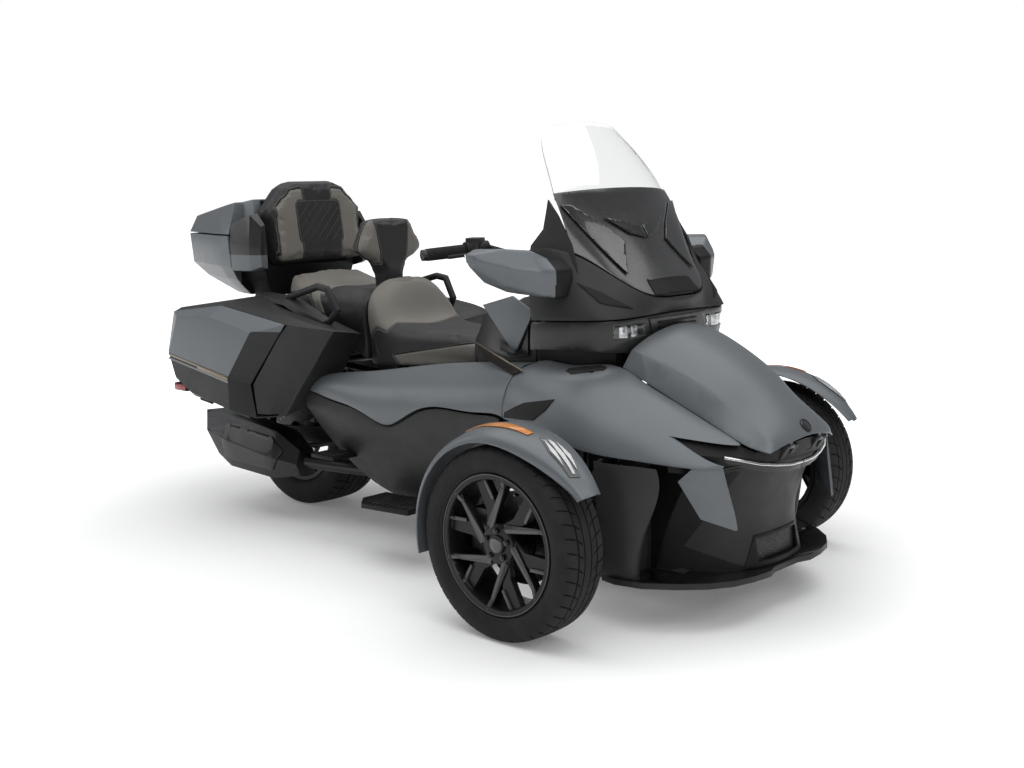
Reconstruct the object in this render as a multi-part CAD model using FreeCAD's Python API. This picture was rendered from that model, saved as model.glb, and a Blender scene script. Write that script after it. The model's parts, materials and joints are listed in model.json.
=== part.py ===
"""Touring motor trike: two steered wheels in front, one driven wheel behind, a long body with four lidded
luggage spaces. Millimetres. X points forward, Y to the rider's left, Z up. The origin lies on the ground
in the middle of the overall length and width."""
import FreeCAD, Part
import math
import os

V = FreeCAD.Vector

# Driving dimensions
length = 2833.0
width = 1572.0
height = 1464.0
wheelbase = 1714.0
front_overhang = 544.5
track = 1390.0
front_axle_x = length / 2 - front_overhang
rear_axle_x = front_axle_x - wheelbase

# Running gear
front_tyre_radius = 281.0
front_tyre_width = 165.0
rear_tyre_radius = 303.0
rear_tyre_width = 225.0
bead_radius = 190.5
lip_radius = 203.0
rim_wall = 6.0
axle_radius = 17.0
running_gap = 0.05
spoke_count = 6
wheel_turn = 20.0
bar_rise = 5.0
rim_seat = 184.0
hub_radius = 58.0
disc_radius = 135.0
disc_thickness = 6.0
disc_y = 652.0
kingpin_y = 600.0
kingpin_radius = 10.0
ball_height = 96.0
steering_arm = 112.0
steering_arm_z = front_tyre_radius + 6.0
rod_radius = 8.0
rod_gap = 0.6
arm_inner_y = 190.0
arm_half_base = 130.0
arm_radius = 12.0
pin_gap = 0.3
hinge_pin_radius = 4.0
hinge_clearance = 1.0

# Panels
skin = 4.0
panel_gap = 5.0
seat_gap = 0.3
lid_gap = 6.0
hinge_radius = 7.0
floor_z = 118.0

os.makedirs("parts", exist_ok=True)


def save(shape, name):
    shape.exportStep("parts/" + name + ".step")


def mirrored(shape):
    """The same piece on the other side of the trike."""
    return shape.mirror(V(0, 0, 0), V(0, 1, 0))


def both(shape):
    """One node of two like solids, left and right."""
    return Part.Compound([shape, mirrored(shape)])


def box(x0, x1, y0, y1, z0, z1):
    return Part.makeBox(x1 - x0, y1 - y0, z1 - z0, V(x0, y0, z0))


def rod(a, b, radius):
    """A round bar from point a to point b."""
    a, b = V(*a), V(*b)
    return Part.makeCylinder(radius, (b - a).Length, a, b - a)


def bent_bar(points, radius):
    """A round bar through several points, with a ball at each bend."""
    shape = rod(points[0], points[1], radius)
    for a, b in zip(points[1:], points[2:]):
        shape = shape.fuse(Part.makeSphere(radius, V(*a))).fuse(rod(a, b, radius))
    return shape.removeSplitter()


def fused(*shapes):
    return shapes[0].fuse(list(shapes[1:])).removeSplitter()


def largest(shape):
    return max(shape.Solids, key=lambda s: s.Volume)


def hinge_barrels(a, b):
    """A hinge from a to b: its fixed pin with both end barrels, and the middle barrel that turns on the pin."""
    a, b = V(*a), V(*b)
    third = (b - a) * (1 / 3)
    slip = (b - a).normalize() * pin_gap
    ends = [rod(a, a + third, hinge_radius), rod(b - third, b, hinge_radius)]
    pin = rod(a, b, hinge_pin_radius)
    middle = rod(a + third + slip, b - third - slip, hinge_radius)
    return fused(pin, *ends), middle.cut(rod(a, b, hinge_pin_radius + running_gap))


def hinge_pockets(a, b):
    """The room that the end barrels and the middle barrel of a hinge from a to b need in the pieces round them."""
    a, b = V(*a), V(*b)
    third = (b - a) * (1 / 3)
    slip = (b - a).normalize() * hinge_clearance
    radius = hinge_radius + hinge_clearance
    ends = Part.Compound([rod(a - slip, a + third + slip, radius), rod(b - third - slip, b + slip, radius)])
    return ends, rod(a + third - slip, b - third + slip, radius)


def curve(points):
    """A smooth edge through the points."""
    points = [V(*p) for p in points]
    if len(points) == 2:
        return Part.makeLine(points[0], points[1])
    line = Part.BSplineCurve()
    line.interpolate(points)
    return line.toShape()


def plate(points, along):
    """A flat outline pushed along a vector."""
    points = [V(*p) for p in points]
    return Part.Face(Part.makePolygon(points + points[:1])).extrude(V(*along))


def prism(*stations):
    """A solid through closed outlines with as many corners each, joined by straight faces."""
    wires = [Part.makePolygon([V(*p) for p in s] + [V(*s[0])]) for s in stations]
    return Part.makeLoft(wires, True, True)


def spun(profile, x, z):
    """A closed profile of (y, radius) turned about a wheel's axle, which runs along Y through (x, z)."""
    points = [V(x, y, z + r) for y, r in profile]
    face = Part.Face(Part.makePolygon(points + points[:1]))
    return face.revolve(V(x, 0, z), V(0, 1, 0), 360)


def panel(rows, inside, thickness=skin, creases=()):
    """A curved panel of even thickness through rows of points. Its inner face looks at the point inside.
    creases lists the columns where each row has a sharp edge."""
    grid = [[V(*p) for p in row] for row in rows]
    last_row, last_col = len(grid) - 1, len(grid[0]) - 1
    towards = V(*inside)
    back = []
    for i, row in enumerate(grid):
        back_row = []
        for j, p in enumerate(row):
            across = row[min(j + 1, last_col)] - row[max(j - 1, 0)]
            along = grid[min(i + 1, last_row)][j] - grid[max(i - 1, 0)][j]
            normal = across.cross(along)
            normal.normalize()
            if normal.dot(towards - p) < 0:
                normal = -normal
            back_row.append(p + normal * thickness)
        back.append(back_row)
    stops = [0, *creases, last_col]
    faces = []
    borders = []
    for points in (grid, back):
        wires = [Part.Wire([curve(r[a:b + 1]) for a, b in zip(stops, stops[1:])]) for r in points]
        sheet = Part.makeLoft(wires, False, False)
        faces += sheet.Faces
        users = {}
        for face in sheet.Faces:
            for edge in face.Edges:
                users.setdefault(edge.hashCode(), []).append(edge)
        borders.append([edges[0] for edges in users.values() if len(edges) == 1])
    for edge in borders[0]:
        middle = edge.valueAt((edge.FirstParameter + edge.LastParameter) / 2)
        partner = min(borders[1], key=lambda e: (e.valueAt((e.FirstParameter + e.LastParameter) / 2)
                                                 - middle).Length)
        faces.append(Part.makeRuledSurface(edge, partner))
    shell = Part.makeShell(faces)
    shell.sewShape()
    solid = Part.Solid(shell)
    if solid.Volume < 0:
        solid.reverse()
    return solid


def symmetric(half_rows):
    """Rows given from the middle outward on the left, made into rows right across."""
    return [[(x, -y, z) for x, y, z in reversed(row) if y > 0] + list(row) for row in half_rows]


# Wheels and tyres
def tyre(x, y, radius, tyre_width):
    half = tyre_width / 2
    side = radius - bead_radius
    bore = bead_radius + rim_wall + 0.5
    profile = [(-half * 0.74, bore), (-half * 0.76, lip_radius + 3), (-half, bore + side * 0.43),
               (-half * 0.94, radius - 16), (-half * 0.74, radius), (half * 0.74, radius),
               (half * 0.94, radius - 16), (half, bore + side * 0.43), (half * 0.76, lip_radius + 3),
               (half * 0.74, bore)]
    return spun([(y + a, r) for a, r in profile], x, radius)


def wheel_ring(centre, base, ring):
    """Points (x, z) of an outline given as (radius, degrees) round a wheel's centre."""
    return [(centre[0] + r * math.cos(base + math.radians(a)), centre[1] + r * math.sin(base + math.radians(a)))
            for r, a in ring]


def wheel_bar(centre, base, inner, outer, half):
    """The outline of a straight bar between two points (radius, degrees)."""
    (x0, z0), (x1, z1) = wheel_ring(centre, base, (inner, outer))
    size = math.hypot(x1 - x0, z1 - z0)
    dx, dz = -(z1 - z0) / size * half, (x1 - x0) / size * half
    return [(x0 + dx, z0 + dz), (x1 + dx, z1 + dz), (x1 - dx, z1 - dz), (x0 - dx, z0 - dz)]


def flat_plate(outline, y0, y1):
    return plate([(x, y0, z) for x, z in outline], (0, y1 - y0, 0))


def rim(x, y, radius, tyre_width, outward, hub_in, hub_out):
    """Barrel, hub and spokes of a wheel. outward is +1 where the spokes face the left."""
    half = tyre_width / 2
    seat = bead_radius + rim_wall
    barrel = [(-half * 0.76 - 2, lip_radius), (-half * 0.76 - 8, lip_radius), (-half * 0.76 - 8, bead_radius - 3),
              (-half * 0.3, bead_radius - 16), (half * 0.5, bead_radius - 10), (half * 0.76 + 8, bead_radius - 3),
              (half * 0.76 + 8, lip_radius), (half * 0.76 + 2, lip_radius), (half * 0.76 + 1, seat),
              (half * 0.5, seat - 1), (-half * 0.3, seat - 8), (-half * 0.76 - 1, seat)]
    solids = [spun([(y + a * outward, r) for a, r in barrel], x, radius)]
    face_y = half * 0.76
    hub = spun([(y + outward * hub_in, axle_radius + running_gap), (y + outward * hub_in, hub_radius - 14),
                (y + outward * (hub_out - 22), hub_radius), (y + outward * (hub_out - 3), hub_radius),
                (y + outward * hub_out, hub_radius - 8), (y + outward * hub_out, axle_radius + running_gap)],
               x, radius)
    solids.append(hub)
    turn = math.radians(wheel_turn)
    centre = (x, radius)
    for k in range(spoke_count):
        base = turn + 2 * math.pi * k / spoke_count
        web = wheel_ring(centre, base, ((hub_radius - 6, 38), (hub_radius - 6, 64), (100, 35), (rim_seat + 1, 36),
                                        (rim_seat + 3, 24), (136, 15.5), (112, 17)))
        long_bar = wheel_bar(centre, base, (hub_radius + 2, 44), (rim_seat + 3, 0), 7)
        short_bar = wheel_bar(centre, base, (130, 17), (rim_seat + 3, 25), 5)
        near, face = y + outward * (face_y - 30), y + outward * (face_y - 10)
        solids.append(flat_plate(web, near, face))
        for bar in (long_bar, short_bar):
            solids.append(flat_plate(bar, near, face + outward * bar_rise))
    return solids


def front_wheel():
    y = track / 2
    solids = rim(front_axle_x, y, front_tyre_radius, front_tyre_width, 1, -40, front_tyre_width * 0.38 - 4)
    disc = spun([(disc_y, 60), (disc_y, disc_radius), (disc_y + disc_thickness, disc_radius),
                 (disc_y + disc_thickness, 60)], front_axle_x, front_tyre_radius)
    bell = spun([(disc_y, hub_radius - 16), (disc_y, 62), (disc_y + 16, 62), (disc_y + 16, hub_radius - 16)],
                front_axle_x, front_tyre_radius)
    wheel = fused(*solids, disc, bell)
    cap = Part.makeCylinder(28, 8, V(front_axle_x, y + front_tyre_width * 0.38 - 4.5, front_tyre_radius),
                            V(0, 1, 0))
    return wheel.fuse(cap).removeSplitter()


front_tyre = tyre(front_axle_x, track / 2, front_tyre_radius, front_tyre_width)
save(front_tyre, "tyre_left")
save(mirrored(front_tyre), "tyre_right")
left_wheel = front_wheel()
save(left_wheel, "wheel_left")
save(mirrored(left_wheel), "wheel_right")
save(tyre(rear_axle_x, 0, rear_tyre_radius, rear_tyre_width), "rear_tyre")

rear_solids = rim(rear_axle_x, 0, rear_tyre_radius, rear_tyre_width, 1, -60, 60)
rear_disc = spun([(-104, 50), (-104, 130), (-98, 130), (-98, 50)], rear_axle_x, rear_tyre_radius)
rear_bell = spun([(-104, hub_radius - 20), (-104, 52), (-55, 52), (-55, hub_radius - 20)],
                 rear_axle_x, rear_tyre_radius)
sprocket = spun([(102, hub_radius - 20), (102, 112), (128, 112), (128, hub_radius - 20)],
                rear_axle_x, rear_tyre_radius)
sprocket_hub = spun([(50, axle_radius + running_gap), (50, hub_radius - 14), (128, hub_radius - 14),
                     (128, axle_radius + running_gap)], rear_axle_x, rear_tyre_radius)
save(fused(*rear_solids, rear_disc, rear_bell, sprocket, sprocket_hub), "rear_wheel")

# Front suspension: uprights on kingpins, double arms, dampers
axle_z = front_tyre_radius
ball_low = axle_z - ball_height
ball_high = axle_z + ball_height


def knuckle():
    x = front_axle_x
    pin = rod((x, kingpin_y, ball_low - 14), (x, kingpin_y, ball_high + 14), kingpin_radius)
    web = box(x - 24, x + 24, kingpin_y - 13, kingpin_y + 13, ball_low + 16, ball_high - 16)
    carrier = rod((x, kingpin_y - 10, axle_z), (x, kingpin_y + 34, axle_z), 40)
    spindle = rod((x, kingpin_y, axle_z), (x, track / 2 + 44, axle_z), axle_radius)
    arm = prism([(x, kingpin_y - 12, axle_z - 10), (x, kingpin_y + 12, axle_z - 10),
                 (x, kingpin_y + 12, axle_z + 22), (x, kingpin_y - 12, axle_z + 22)],
                [(x - steering_arm, kingpin_y - 24, steering_arm_z), (x - steering_arm, kingpin_y + 0, steering_arm_z),
                 (x - steering_arm, kingpin_y + 0, steering_arm_z + 14),
                 (x - steering_arm, kingpin_y - 24, steering_arm_z + 14)])
    eye = rod((x - steering_arm, kingpin_y - 12, steering_arm_z), (x - steering_arm, kingpin_y - 12, steering_arm_z + 14),
              15)
    caliper_z = axle_z + 12
    bridge = box(x - 158, x - 84, disc_y - 30, disc_y + disc_thickness + 34, caliper_z - 62, caliper_z + 62)
    slot = spun([(disc_y - 4, 40), (disc_y - 4, disc_radius + 5), (disc_y + disc_thickness + 4, disc_radius + 5),
                 (disc_y + disc_thickness + 4, 40)], x, axle_z)
    trim = Part.makeCylinder(168, 200, V(x, disc_y - 100, axle_z), V(0, 1, 0))
    caliper = bridge.cut(slot).common(trim)
    mount = box(x - 100, x - 10, kingpin_y + 4, disc_y - 8, caliper_z - 20, caliper_z + 20)
    body = fused(pin, web, carrier, spindle, arm, eye, mount, caliper)
    return body


fender_inner = kingpin_y - 18
fender_lip_drop = 56.0


def fender_rows():
    rows = []
    for degrees, crown in ((30, 364), (42, 355), (58, 345), (78, 338), (100, 335), (125, 332), (150, 326),
                           (172, 319), (194, 314)):
        a = math.radians(degrees)
        tip = max(0.0, (80 - degrees) / 50.0) ** 1.7
        drop = fender_lip_drop * min(1.0, 1.25 - degrees / 200.0)
        section = ((fender_inner + 40 + 50 * tip, crown - 14), (fender_inner + 72 + 30 * tip, crown - 3),
                   (702, crown), (748 - 20 * tip, crown - 9 - 3 * tip), (774 - 30 * tip, crown - 0.48 * drop + 5 * tip),
                   (width / 2 - 2 - 44 * tip, crown - drop + 20 * tip))
        rows.append([(front_axle_x + r * math.cos(a), y, axle_z + r * math.sin(a)) for y, r in section])
    return rows


def front_fender():
    sheet = panel(fender_rows(), (front_axle_x, 690, axle_z), 3.5)
    return sheet.common(box(0, 2000, 0, width / 2, 0, 1000))


left_knuckle = knuckle()
fender = front_fender()
stay = bent_bar([(front_axle_x - 20, kingpin_y, axle_z + 40), (front_axle_x - 72, fender_inner, axle_z + 64),
                 (front_axle_x - 72, fender_inner - 4, axle_z + 150), (front_axle_x - 32, fender_inner - 2, axle_z + 280),
                 (front_axle_x - 4, 656, axle_z + 336)], 8)
stay = stay.cut(fender)
stay = max(stay.Solids, key=lambda s: s.Volume)
left_knuckle = left_knuckle.fuse(stay).removeSplitter()
save(left_knuckle, "knuckle_left")
save(mirrored(left_knuckle), "knuckle_right")
save(fender, "fender_left")
save(mirrored(fender), "fender_right")


def suspension_arm(z, drop):
    x = front_axle_x
    ball = (x, kingpin_y, z)
    legs = [rod((x + s * arm_half_base, arm_inner_y, z - drop), (x + s * 14, kingpin_y - 34, z), arm_radius)
            for s in (-1, 1)]
    nose = rod((x - 14, kingpin_y - 34, z), (x + 14, kingpin_y - 34, z), arm_radius)
    eye = rod((x, kingpin_y, z - 11), (x, kingpin_y, z + 11), 21)
    neck = rod((x, kingpin_y - 36, z), (x, kingpin_y - 12, z), 9)
    bushes = [rod((x + s * arm_half_base - 24, arm_inner_y, z - drop), (x + s * arm_half_base + 24, arm_inner_y, z - drop),
                  18) for s in (-1, 1)]
    hole = rod((x, kingpin_y, z - 40), (x, kingpin_y, z + 40), kingpin_radius + pin_gap)
    return fused(*legs, nose, neck, eye, *bushes).cut(hole)


save(Part.Compound([suspension_arm(ball_low, -6), suspension_arm(ball_high, 20),
                    mirrored(suspension_arm(ball_low, -6)), mirrored(suspension_arm(ball_high, 20))]), "front_arms")


def damper():
    low = V(front_axle_x + 40, 420, ball_low + 34)
    high = V(front_axle_x + 40, 250, 505)
    axis = high - low
    step = axis.normalize()
    total = (high - low).Length
    body = Part.makeCylinder(17, total, low, step)
    rings = [Part.makeCylinder(30, 9, low + step * (50 + 19 * k), step) for k in range(11)]
    return fused(body, *rings)


left_damper = damper()
save(both(left_damper), "front_dampers")

# Steering: handlebar, rack with tie rods
bar_x = 330.0
bar_z = 1045.0
column_top = V(430, 0, 1010)
column_low = V(500, 0, 860)


def handlebar():
    points = [(430, 0, 1014), (420, 120, 1030), (345, 215, 1066), (318, 300, 1062)]
    bar = bent_bar(points, 12)
    grip = rod((320, 296, 1062), (268, 425, 1052), 18)
    pod = rod((352, 226, 1066), (322, 300, 1063), 26)
    lever = bent_bar([(372, 250, 1060), (392, 300, 1056), (352, 405, 1046)], 6)
    clamp = box(400, 462, -46, 46, 985, 1030)
    column = Part.makeCylinder(19, (column_top - column_low).Length, column_low, column_top - column_low)
    half = fused(bar, grip, pod, lever)
    return fused(half, mirrored(half), clamp, column)


save(handlebar(), "handlebar")

rod_z = steering_arm_z - rod_gap - rod_radius
rack_x = front_axle_x - steering_arm
end_y = kingpin_y - 12
rack = rod((rack_x, -end_y, rod_z), (rack_x, end_y, rod_z), rod_radius)
save(rack, "tie_rods")

# Frame, engine block and swing arm
rail_y = 150.0


rail_end = (-440.0, rail_y, 315.0)
upper_y = 120.0
upper_end = (-620.0, upper_y, 600.0)
head_tube_radius = 28.0
column_radius = 19.0


def rail_height(x):
    """Height of the sloping lower rail, which runs level ahead of x = 300."""
    return 190 + (300 - x) * (rail_end[2] - 190) / (300 - rail_end[0])


def frame():
    solids = []
    for s in (-1, 1):
        y = s * rail_y
        solids += [rod((rail_end[0], y, rail_end[2]), (300, y, 190), 20), rod((300, y, 190), (1080, y, 190), 20),
                   Part.makeSphere(20, V(300, y, 190)), Part.makeSphere(16, V(rail_end[0], y, rail_end[2])),
                   bent_bar([(-620, s * upper_y, 600), (-100, s * upper_y, 575), (560, y, 470), (1080, y, 420)], 16),
                   rod((rail_end[0], y, rail_end[2]), (-470, s * upper_y, 593), 16)]
        solids += [rod((x, y, 190), (x, y, z), 16) for x, z in ((front_axle_x - 188, 462), (front_axle_x + 188, 422))]
        solids.append(bent_bar([(-620, s * upper_y, 600), (-700, y, 700), (-1080, y, 740)], 14))
        solids.append(rod((-900, y, 720), (-900, y, 866), 12))
        solids += [rod((x, y, 712 + (-760 - x) * 0.1), (x, s * 246, 712 + (-760 - x) * 0.1), 10)
                   for x in (-760, -1040)]
        solids.append(rod((front_axle_x - 188, y, ball_high - 20), (front_axle_x + 188, y, ball_high - 20), 12))
        solids.append(rod((front_axle_x + 40, y, 440), (front_axle_x + 40, s * 236, 516), 14))
        solids.append(rod((560, y, 470), (508, s * 30, 826), 15))
        solids += [box(front_axle_x + a * arm_half_base + b - 3, front_axle_x + a * arm_half_base + b + 3,
                       s * 174 - 34, s * 174 + 34, z - 16, z + 16)
                   for a in (-1, 1) for b in (-24 - 3.3, 24 + 3.3) for z in (ball_low + 6, ball_high - 20)]
    for x, z in ((300, 190), (front_axle_x - 188, 190), (front_axle_x + 188, 190), (front_axle_x + 188, 420)):
        solids.append(rod((x, -rail_y, z), (x, rail_y, z), 16))
    for x in (rail_end[0], -330, 190):
        solids.append(rod((x, -rail_y, rail_height(x)), (x, rail_y, rail_height(x)), 16))
    solids.append(rod((-620, -upper_y, 600), (-620, upper_y, 600), 16))
    solids.append(rod((-1070, -rail_y, 738), (-1070, rail_y, 738), 12))
    solids.append(rod((508, -34, 826), (508, 34, 826), 16))
    along = column_top - column_low
    head_tube = rod(column_low - along * 0.12, column_low + along * 0.28, head_tube_radius)
    bore = rod(column_low, column_top, column_radius + running_gap)
    return fused(*solids, head_tube).cut(bore)


def carriers():
    """Stays from the frame out to the panels, cut off later where they meet them."""
    stays = []
    for x in (300, front_axle_x - 188, front_axle_x + 188):
        stays.append(rod((x, 0, 190), (x, 0, floor_z + skin), 12))
    for s in (-1, 1):
        y = s * rail_y
        stays += [rod((800, y, 445), (800, s * 520, 620), 8), rod((1080, y, 420), (1200, s * 420, 545), 8),
                  rod((100, s * upper_y, 550), (100, s * 420, 600), 8), rod((-330, s * upper_y, 580), (-330, s * 420, 570), 8),
                  rod((560, y, 470), (500, s * 450, 640), 8), rod((150, y, 215), (150, s * 420, 330), 8),
                  rod((420, y, 190), (420, s * 420, 330), 8), rod((1060, y, 190), (1360, s * 165, 190), 12),
                  rod((1080, y, 420), (1390, s * 160, 440), 8),
                  rod((1060, s * 100, 420), (1150, s * 80, 480), 8), rod((-620, s * 60, 600), (-760, s * 60, 640), 8),
                  rod((-1070, s * 60, 738), (-1024, s * 60, 560), 8), rod((508, s * 30, 826), (990, s * 120, 790), 8),
                  rod((508, s * 30, 826), (930, s * 100, 925), 8), rod((508, s * 30, 826), (600, s * 70, 1010), 8),
                  rod((-640, s * 125, 620), (-585, s * 300, 850), 8)]
    stays.append(rod((rail_end[0], -rail_y - 8, rail_end[2] - 2), (-610, -300, 300), 8))
    return stays


chassis = largest(frame().fuse(carriers()).cut(Part.Compound([left_damper, mirrored(left_damper)])))
engine = fused(box(-400, 240, -124, 124, 215, 470), box(-380, 160, -98, 98, 470, 575))
engine = largest(engine.cut(chassis))
save(engine, "engine_block")


def swing_arm():
    legs = [prism([(-466, s * 142, 300), (-466, s * 168, 300), (-466, s * 168, 360), (-466, s * 142, 360)],
                  [(rear_axle_x - 40, s * 142, rear_tyre_radius - 26), (rear_axle_x - 40, s * 168, rear_tyre_radius - 26),
                   (rear_axle_x - 40, s * 168, rear_tyre_radius + 26), (rear_axle_x - 40, s * 142, rear_tyre_radius + 26)])
            for s in (-1, 1)]
    pivot = rod((-486, -168, 330), (-486, 168, 330), 24)
    axle = rod((rear_axle_x, -168, rear_tyre_radius), (rear_axle_x, 168, rear_tyre_radius), axle_radius)
    block = box(rear_axle_x + 84, rear_axle_x + 148, -130, -84, rear_tyre_radius - 50, rear_tyre_radius + 50)
    slot = spun([(-109, 40), (-109, 136), (-93, 136), (-93, 40)], rear_axle_x, rear_tyre_radius)
    lug = box(rear_axle_x + 100, rear_axle_x + 140, -150, -124, rear_tyre_radius - 20, rear_tyre_radius + 20)
    trim = Part.makeCylinder(168, 300, V(rear_axle_x, -200, rear_tyre_radius), V(0, 1, 0))
    caliper = block.cut(slot).common(trim)
    arm = fused(*legs, pivot, axle, lug, caliper)
    return arm.cut(chassis)


save(largest(swing_arm()), "swing_arm")

# Muffler on the right, with a slanting tip
def tip_x(z):
    return -985 - 0.68 * (z - 236)


def muffler_station(x_of, ring):
    return [(x_of(z), y, z) for y, z in ring]


muffler = prism(muffler_station(lambda z: -540, ((-330, 200), (-262, 195), (-246, 240), (-262, 290), (-325, 295),
                                                 (-345, 245))),
                muffler_station(lambda z: -640, ((-372, 184), (-255, 178), (-226, 260), (-255, 352), (-350, 360),
                                                 (-384, 265))),
                muffler_station(lambda z: -900, ((-380, 198), (-262, 190), (-232, 290), (-262, 385), (-352, 392),
                                                 (-392, 300))),
                muffler_station(tip_x, ((-376, 236), (-266, 228), (-240, 320), (-266, 392), (-348, 396),
                                        (-386, 324))))
outlet = rod((-930, -312, 296), (-1200, -312, 326), 34)
header = bent_bar([(-560, -292, 248), (-440, -250, 240), (-330, -190, 230), (-300, -100, 228)], 24)
save(fused(muffler, header).cut(outlet).cut(engine), "muffler")


# Upholstery
def pad(stations):
    """A padded block through cross sections (x, half width, top, bottom, crown)."""
    wires = []
    for x, half, top, low, crown in stations:
        deep = top - low
        side = [(half * 0.97, low), (half, low + deep * 0.45), (half * 0.95, top - deep * 0.14),
                (half * 0.74, top - deep * 0.015)]
        line = [(x, y, z) for y, z in side] + [(x, 0, top + crown)] + [(x, -y, z) for y, z in reversed(side)]
        base = Part.makeLine(V(*line[-1]), V(*line[0]))
        wires.append(Part.Wire([curve(line), base]))
    return Part.makeLoft(wires, True, False)


split_x = -302.0
rider_seat = pad([(205, 140, 735, 672, 0), (150, 152, 748, 660, 0), (50, 175, 752, 648, -3), (-60, 196, 755, 640, -5),
                  (-150, 205, 768, 634, -3), (-205, 206, 806, 630, 4), (-245, 202, 870, 628, 14),
                  (-276, 190, 905, 626, 22), (split_x + seat_gap, 172, 912, 626, 24)])
pillion = pad([(split_x, 190, 885, 640, 0), (-400, 214, 884, 690, -4), (-500, 222, 888, 730, -5),
               (-600, 218, 896, 770, -2), (-690, 205, 918, 820, 6), (-748, 180, 942, 872, 10)])
save(Part.Compound([rider_seat, pillion]), "seat")

rest_outline = [(92, 1150), (112, 1128), (150, 1060), (150, 1036), (122, 1008), (80, 985), (52, 946), (46, 914), (44, 868)]
rest_ring = [(-408, y, z) for y, z in rest_outline] + [(-408, -y, z) for y, z in reversed(rest_outline)]
rest = plate(rest_ring, (62, 0, 0))
rest.rotate(V(-380, 0, 920), V(0, 1, 0), -4)
back_outline = [(100, 1291), (150, 1268), (226, 1185), (222, 1140), (212, 1010), (196, 976)]
back_ring = [(-842, y, z) for y, z in back_outline] + [(-842, -y, z) for y, z in reversed(back_outline)]
back = plate(back_ring, (86, 0, 0))
back.rotate(V(-800, 0, 976), V(0, 1, 0), -8.2)
rest = largest(rest.cut(pillion).cut(rider_seat))
save(rest, "rider_backrest")
save(back, "passenger_backrest")


# Luggage
def ring_at(outline, z_of):
    return [(x, y, z_of(x)) for x, y in outline] + [(x, -y, z_of(x)) for x, y in reversed(outline)]


def inset(outline, d):
    """An outline given on the left from rear to front, drawn in by d on every side."""
    xs = [x for x, y in outline]
    low, high = min(xs), max(xs)
    mid, half = (low + high) / 2, (high - low) / 2
    wide = max(y for x, y in outline)
    return [(mid + (x - mid) * (1 - d / half), y * (1 - d / wide)) for x, y in outline]


wall = 4.0
seam_z = 1086.0
pod_inner = 242.0
case_rings = ((850, [(-1140, 100), (-1130, 146), (-1040, 182), (-975, 194), (-966, 184), (-850, 180)]),
              (912, [(-1314, 110), (-1300, 164), (-1060, 242), (-975, 256), (-968, 218), (-846, 212)]),
              (965, [(-1402, 116), (-1388, 174), (-1060, 272), (-975, 284), (-970, 232), (-838, 226)]))
base_mid = [(-length / 2, 120), (-1400, 178), (-1060, 280), (-975, 290), (-970, 236), (-880, 232)]
lid_top = [(-1374, 112), (-1362, 166), (-1060, 238), (-980, 250), (-974, 222), (-905, 218)]
lid_axis = (-893.0, 1212.0)


def flat(z):
    return lambda x: z


def lid_slope(x):
    return 1152 + (x + 1374) * 70 / 469


case_outer = prism(*[ring_at(ring, flat(z)) for z, ring in case_rings],
                   ring_at(base_mid, flat(seam_z - lid_gap / 2)))
case_inner = prism(*[ring_at(inset(ring, wall), flat(z + (wall if z == case_rings[0][0] else 0)))
                     for z, ring in case_rings], ring_at(inset(base_mid, wall), flat(seam_z + 10)))
pod_low, pod_high = 945.0, 1170.0
pod = prism([(-964, 226, pod_low - 5), (-964, 288, pod_low + 5), (-964, 294, 1060), (-964, 286, 1130),
             (-964, pod_inner, 1140), (-964, pod_inner, seam_z - 6), (-964, 226, seam_z - 6)],
            [(-850, 226, pod_low), (-850, 284, pod_low + 7), (-850, 288, 1050), (-850, 278, pod_high - 6),
             (-850, pod_inner, pod_high), (-850, pod_inner, seam_z - 6), (-850, 226, seam_z - 6)],
            [(-800, 240, 960), (-800, 268, 968), (-800, 270, 1030), (-800, 264, 1120), (-800, 246, 1126),
             (-800, 242, 1060), (-800, 240, 1050)])


def lid_arm(y0, y1):
    """Arm from the case's front wall up to an end barrel of the lid's hinge."""
    return plate([(-884, y0, 1050), (-884, y0, 1078), (-875, y0, 1086), (lid_axis[0] - 4, y0, lid_axis[1]),
                  (lid_axis[0] + 4, y0, lid_axis[1]), (-866, y0, 1086), (-862, y0, 1050)], (0, y1 - y0, 0))


top_case = case_outer.cut(case_inner)
top_lid = prism(ring_at(base_mid, flat(seam_z + lid_gap / 2)), ring_at(lid_top, lid_slope))
top_lid = top_lid.cut(prism(ring_at(inset(base_mid, wall), flat(seam_z - 10)),
                            ring_at(inset(lid_top, wall + 4), lambda x: lid_slope(x) - wall)))
top_case = top_case.fuse([pod, mirrored(pod)])
for s in (-1, 1):
    ends = (s * 120.0, s * 189.0)
    fixed, turning = hinge_barrels(*[(lid_axis[0], y, lid_axis[1]) for y in ends])
    low, high = min(ends), max(ends)
    top_case = top_case.fuse([fixed, lid_arm(low, low + 22.5), lid_arm(high - 22.5, high)])
    web = box(lid_axis[0] - 15, lid_axis[0] - 5, low + 24, high - 24, lid_axis[1] - 5, lid_axis[1] + 5)
    top_lid = top_lid.fuse([turning, web])
top_case = largest(top_case.removeSplitter().cut(back))
save(top_case, "top_case")
save(largest(top_lid.removeSplitter()), "top_case_lid")

# Side case: outlines seen from the side at three distances from the middle
case_in_y, case_mid_y, case_seam_y, case_out_y = 238.0, 400.0, 470.0, 526.0
case_in = [(-1090, 822), (-1120, 620), (-1070, 560), (-970, 520), (-480, 500), (-380, 600), (-270, 745),
           (-760, 868)]
case_mid = [(-1155, 806), (-1172, 622), (-1105, 546), (-982, 480), (-517, 439), (-415, 565), (-229, 772),
            (-800, 850)]
case_seam = [(-1098, 800), (-1152, 640), (-1105, 535), (-985, 478), (-597, 432), (-626, 556), (-410, 790),
             (-780, 838)]
case_out = [(-1000, 790), (-1068, 645), (-1030, 556), (-935, 506), (-690, 462), (-690, 580), (-545, 756),
            (-800, 800)]
side_hinge_drop = 2.0


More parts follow.
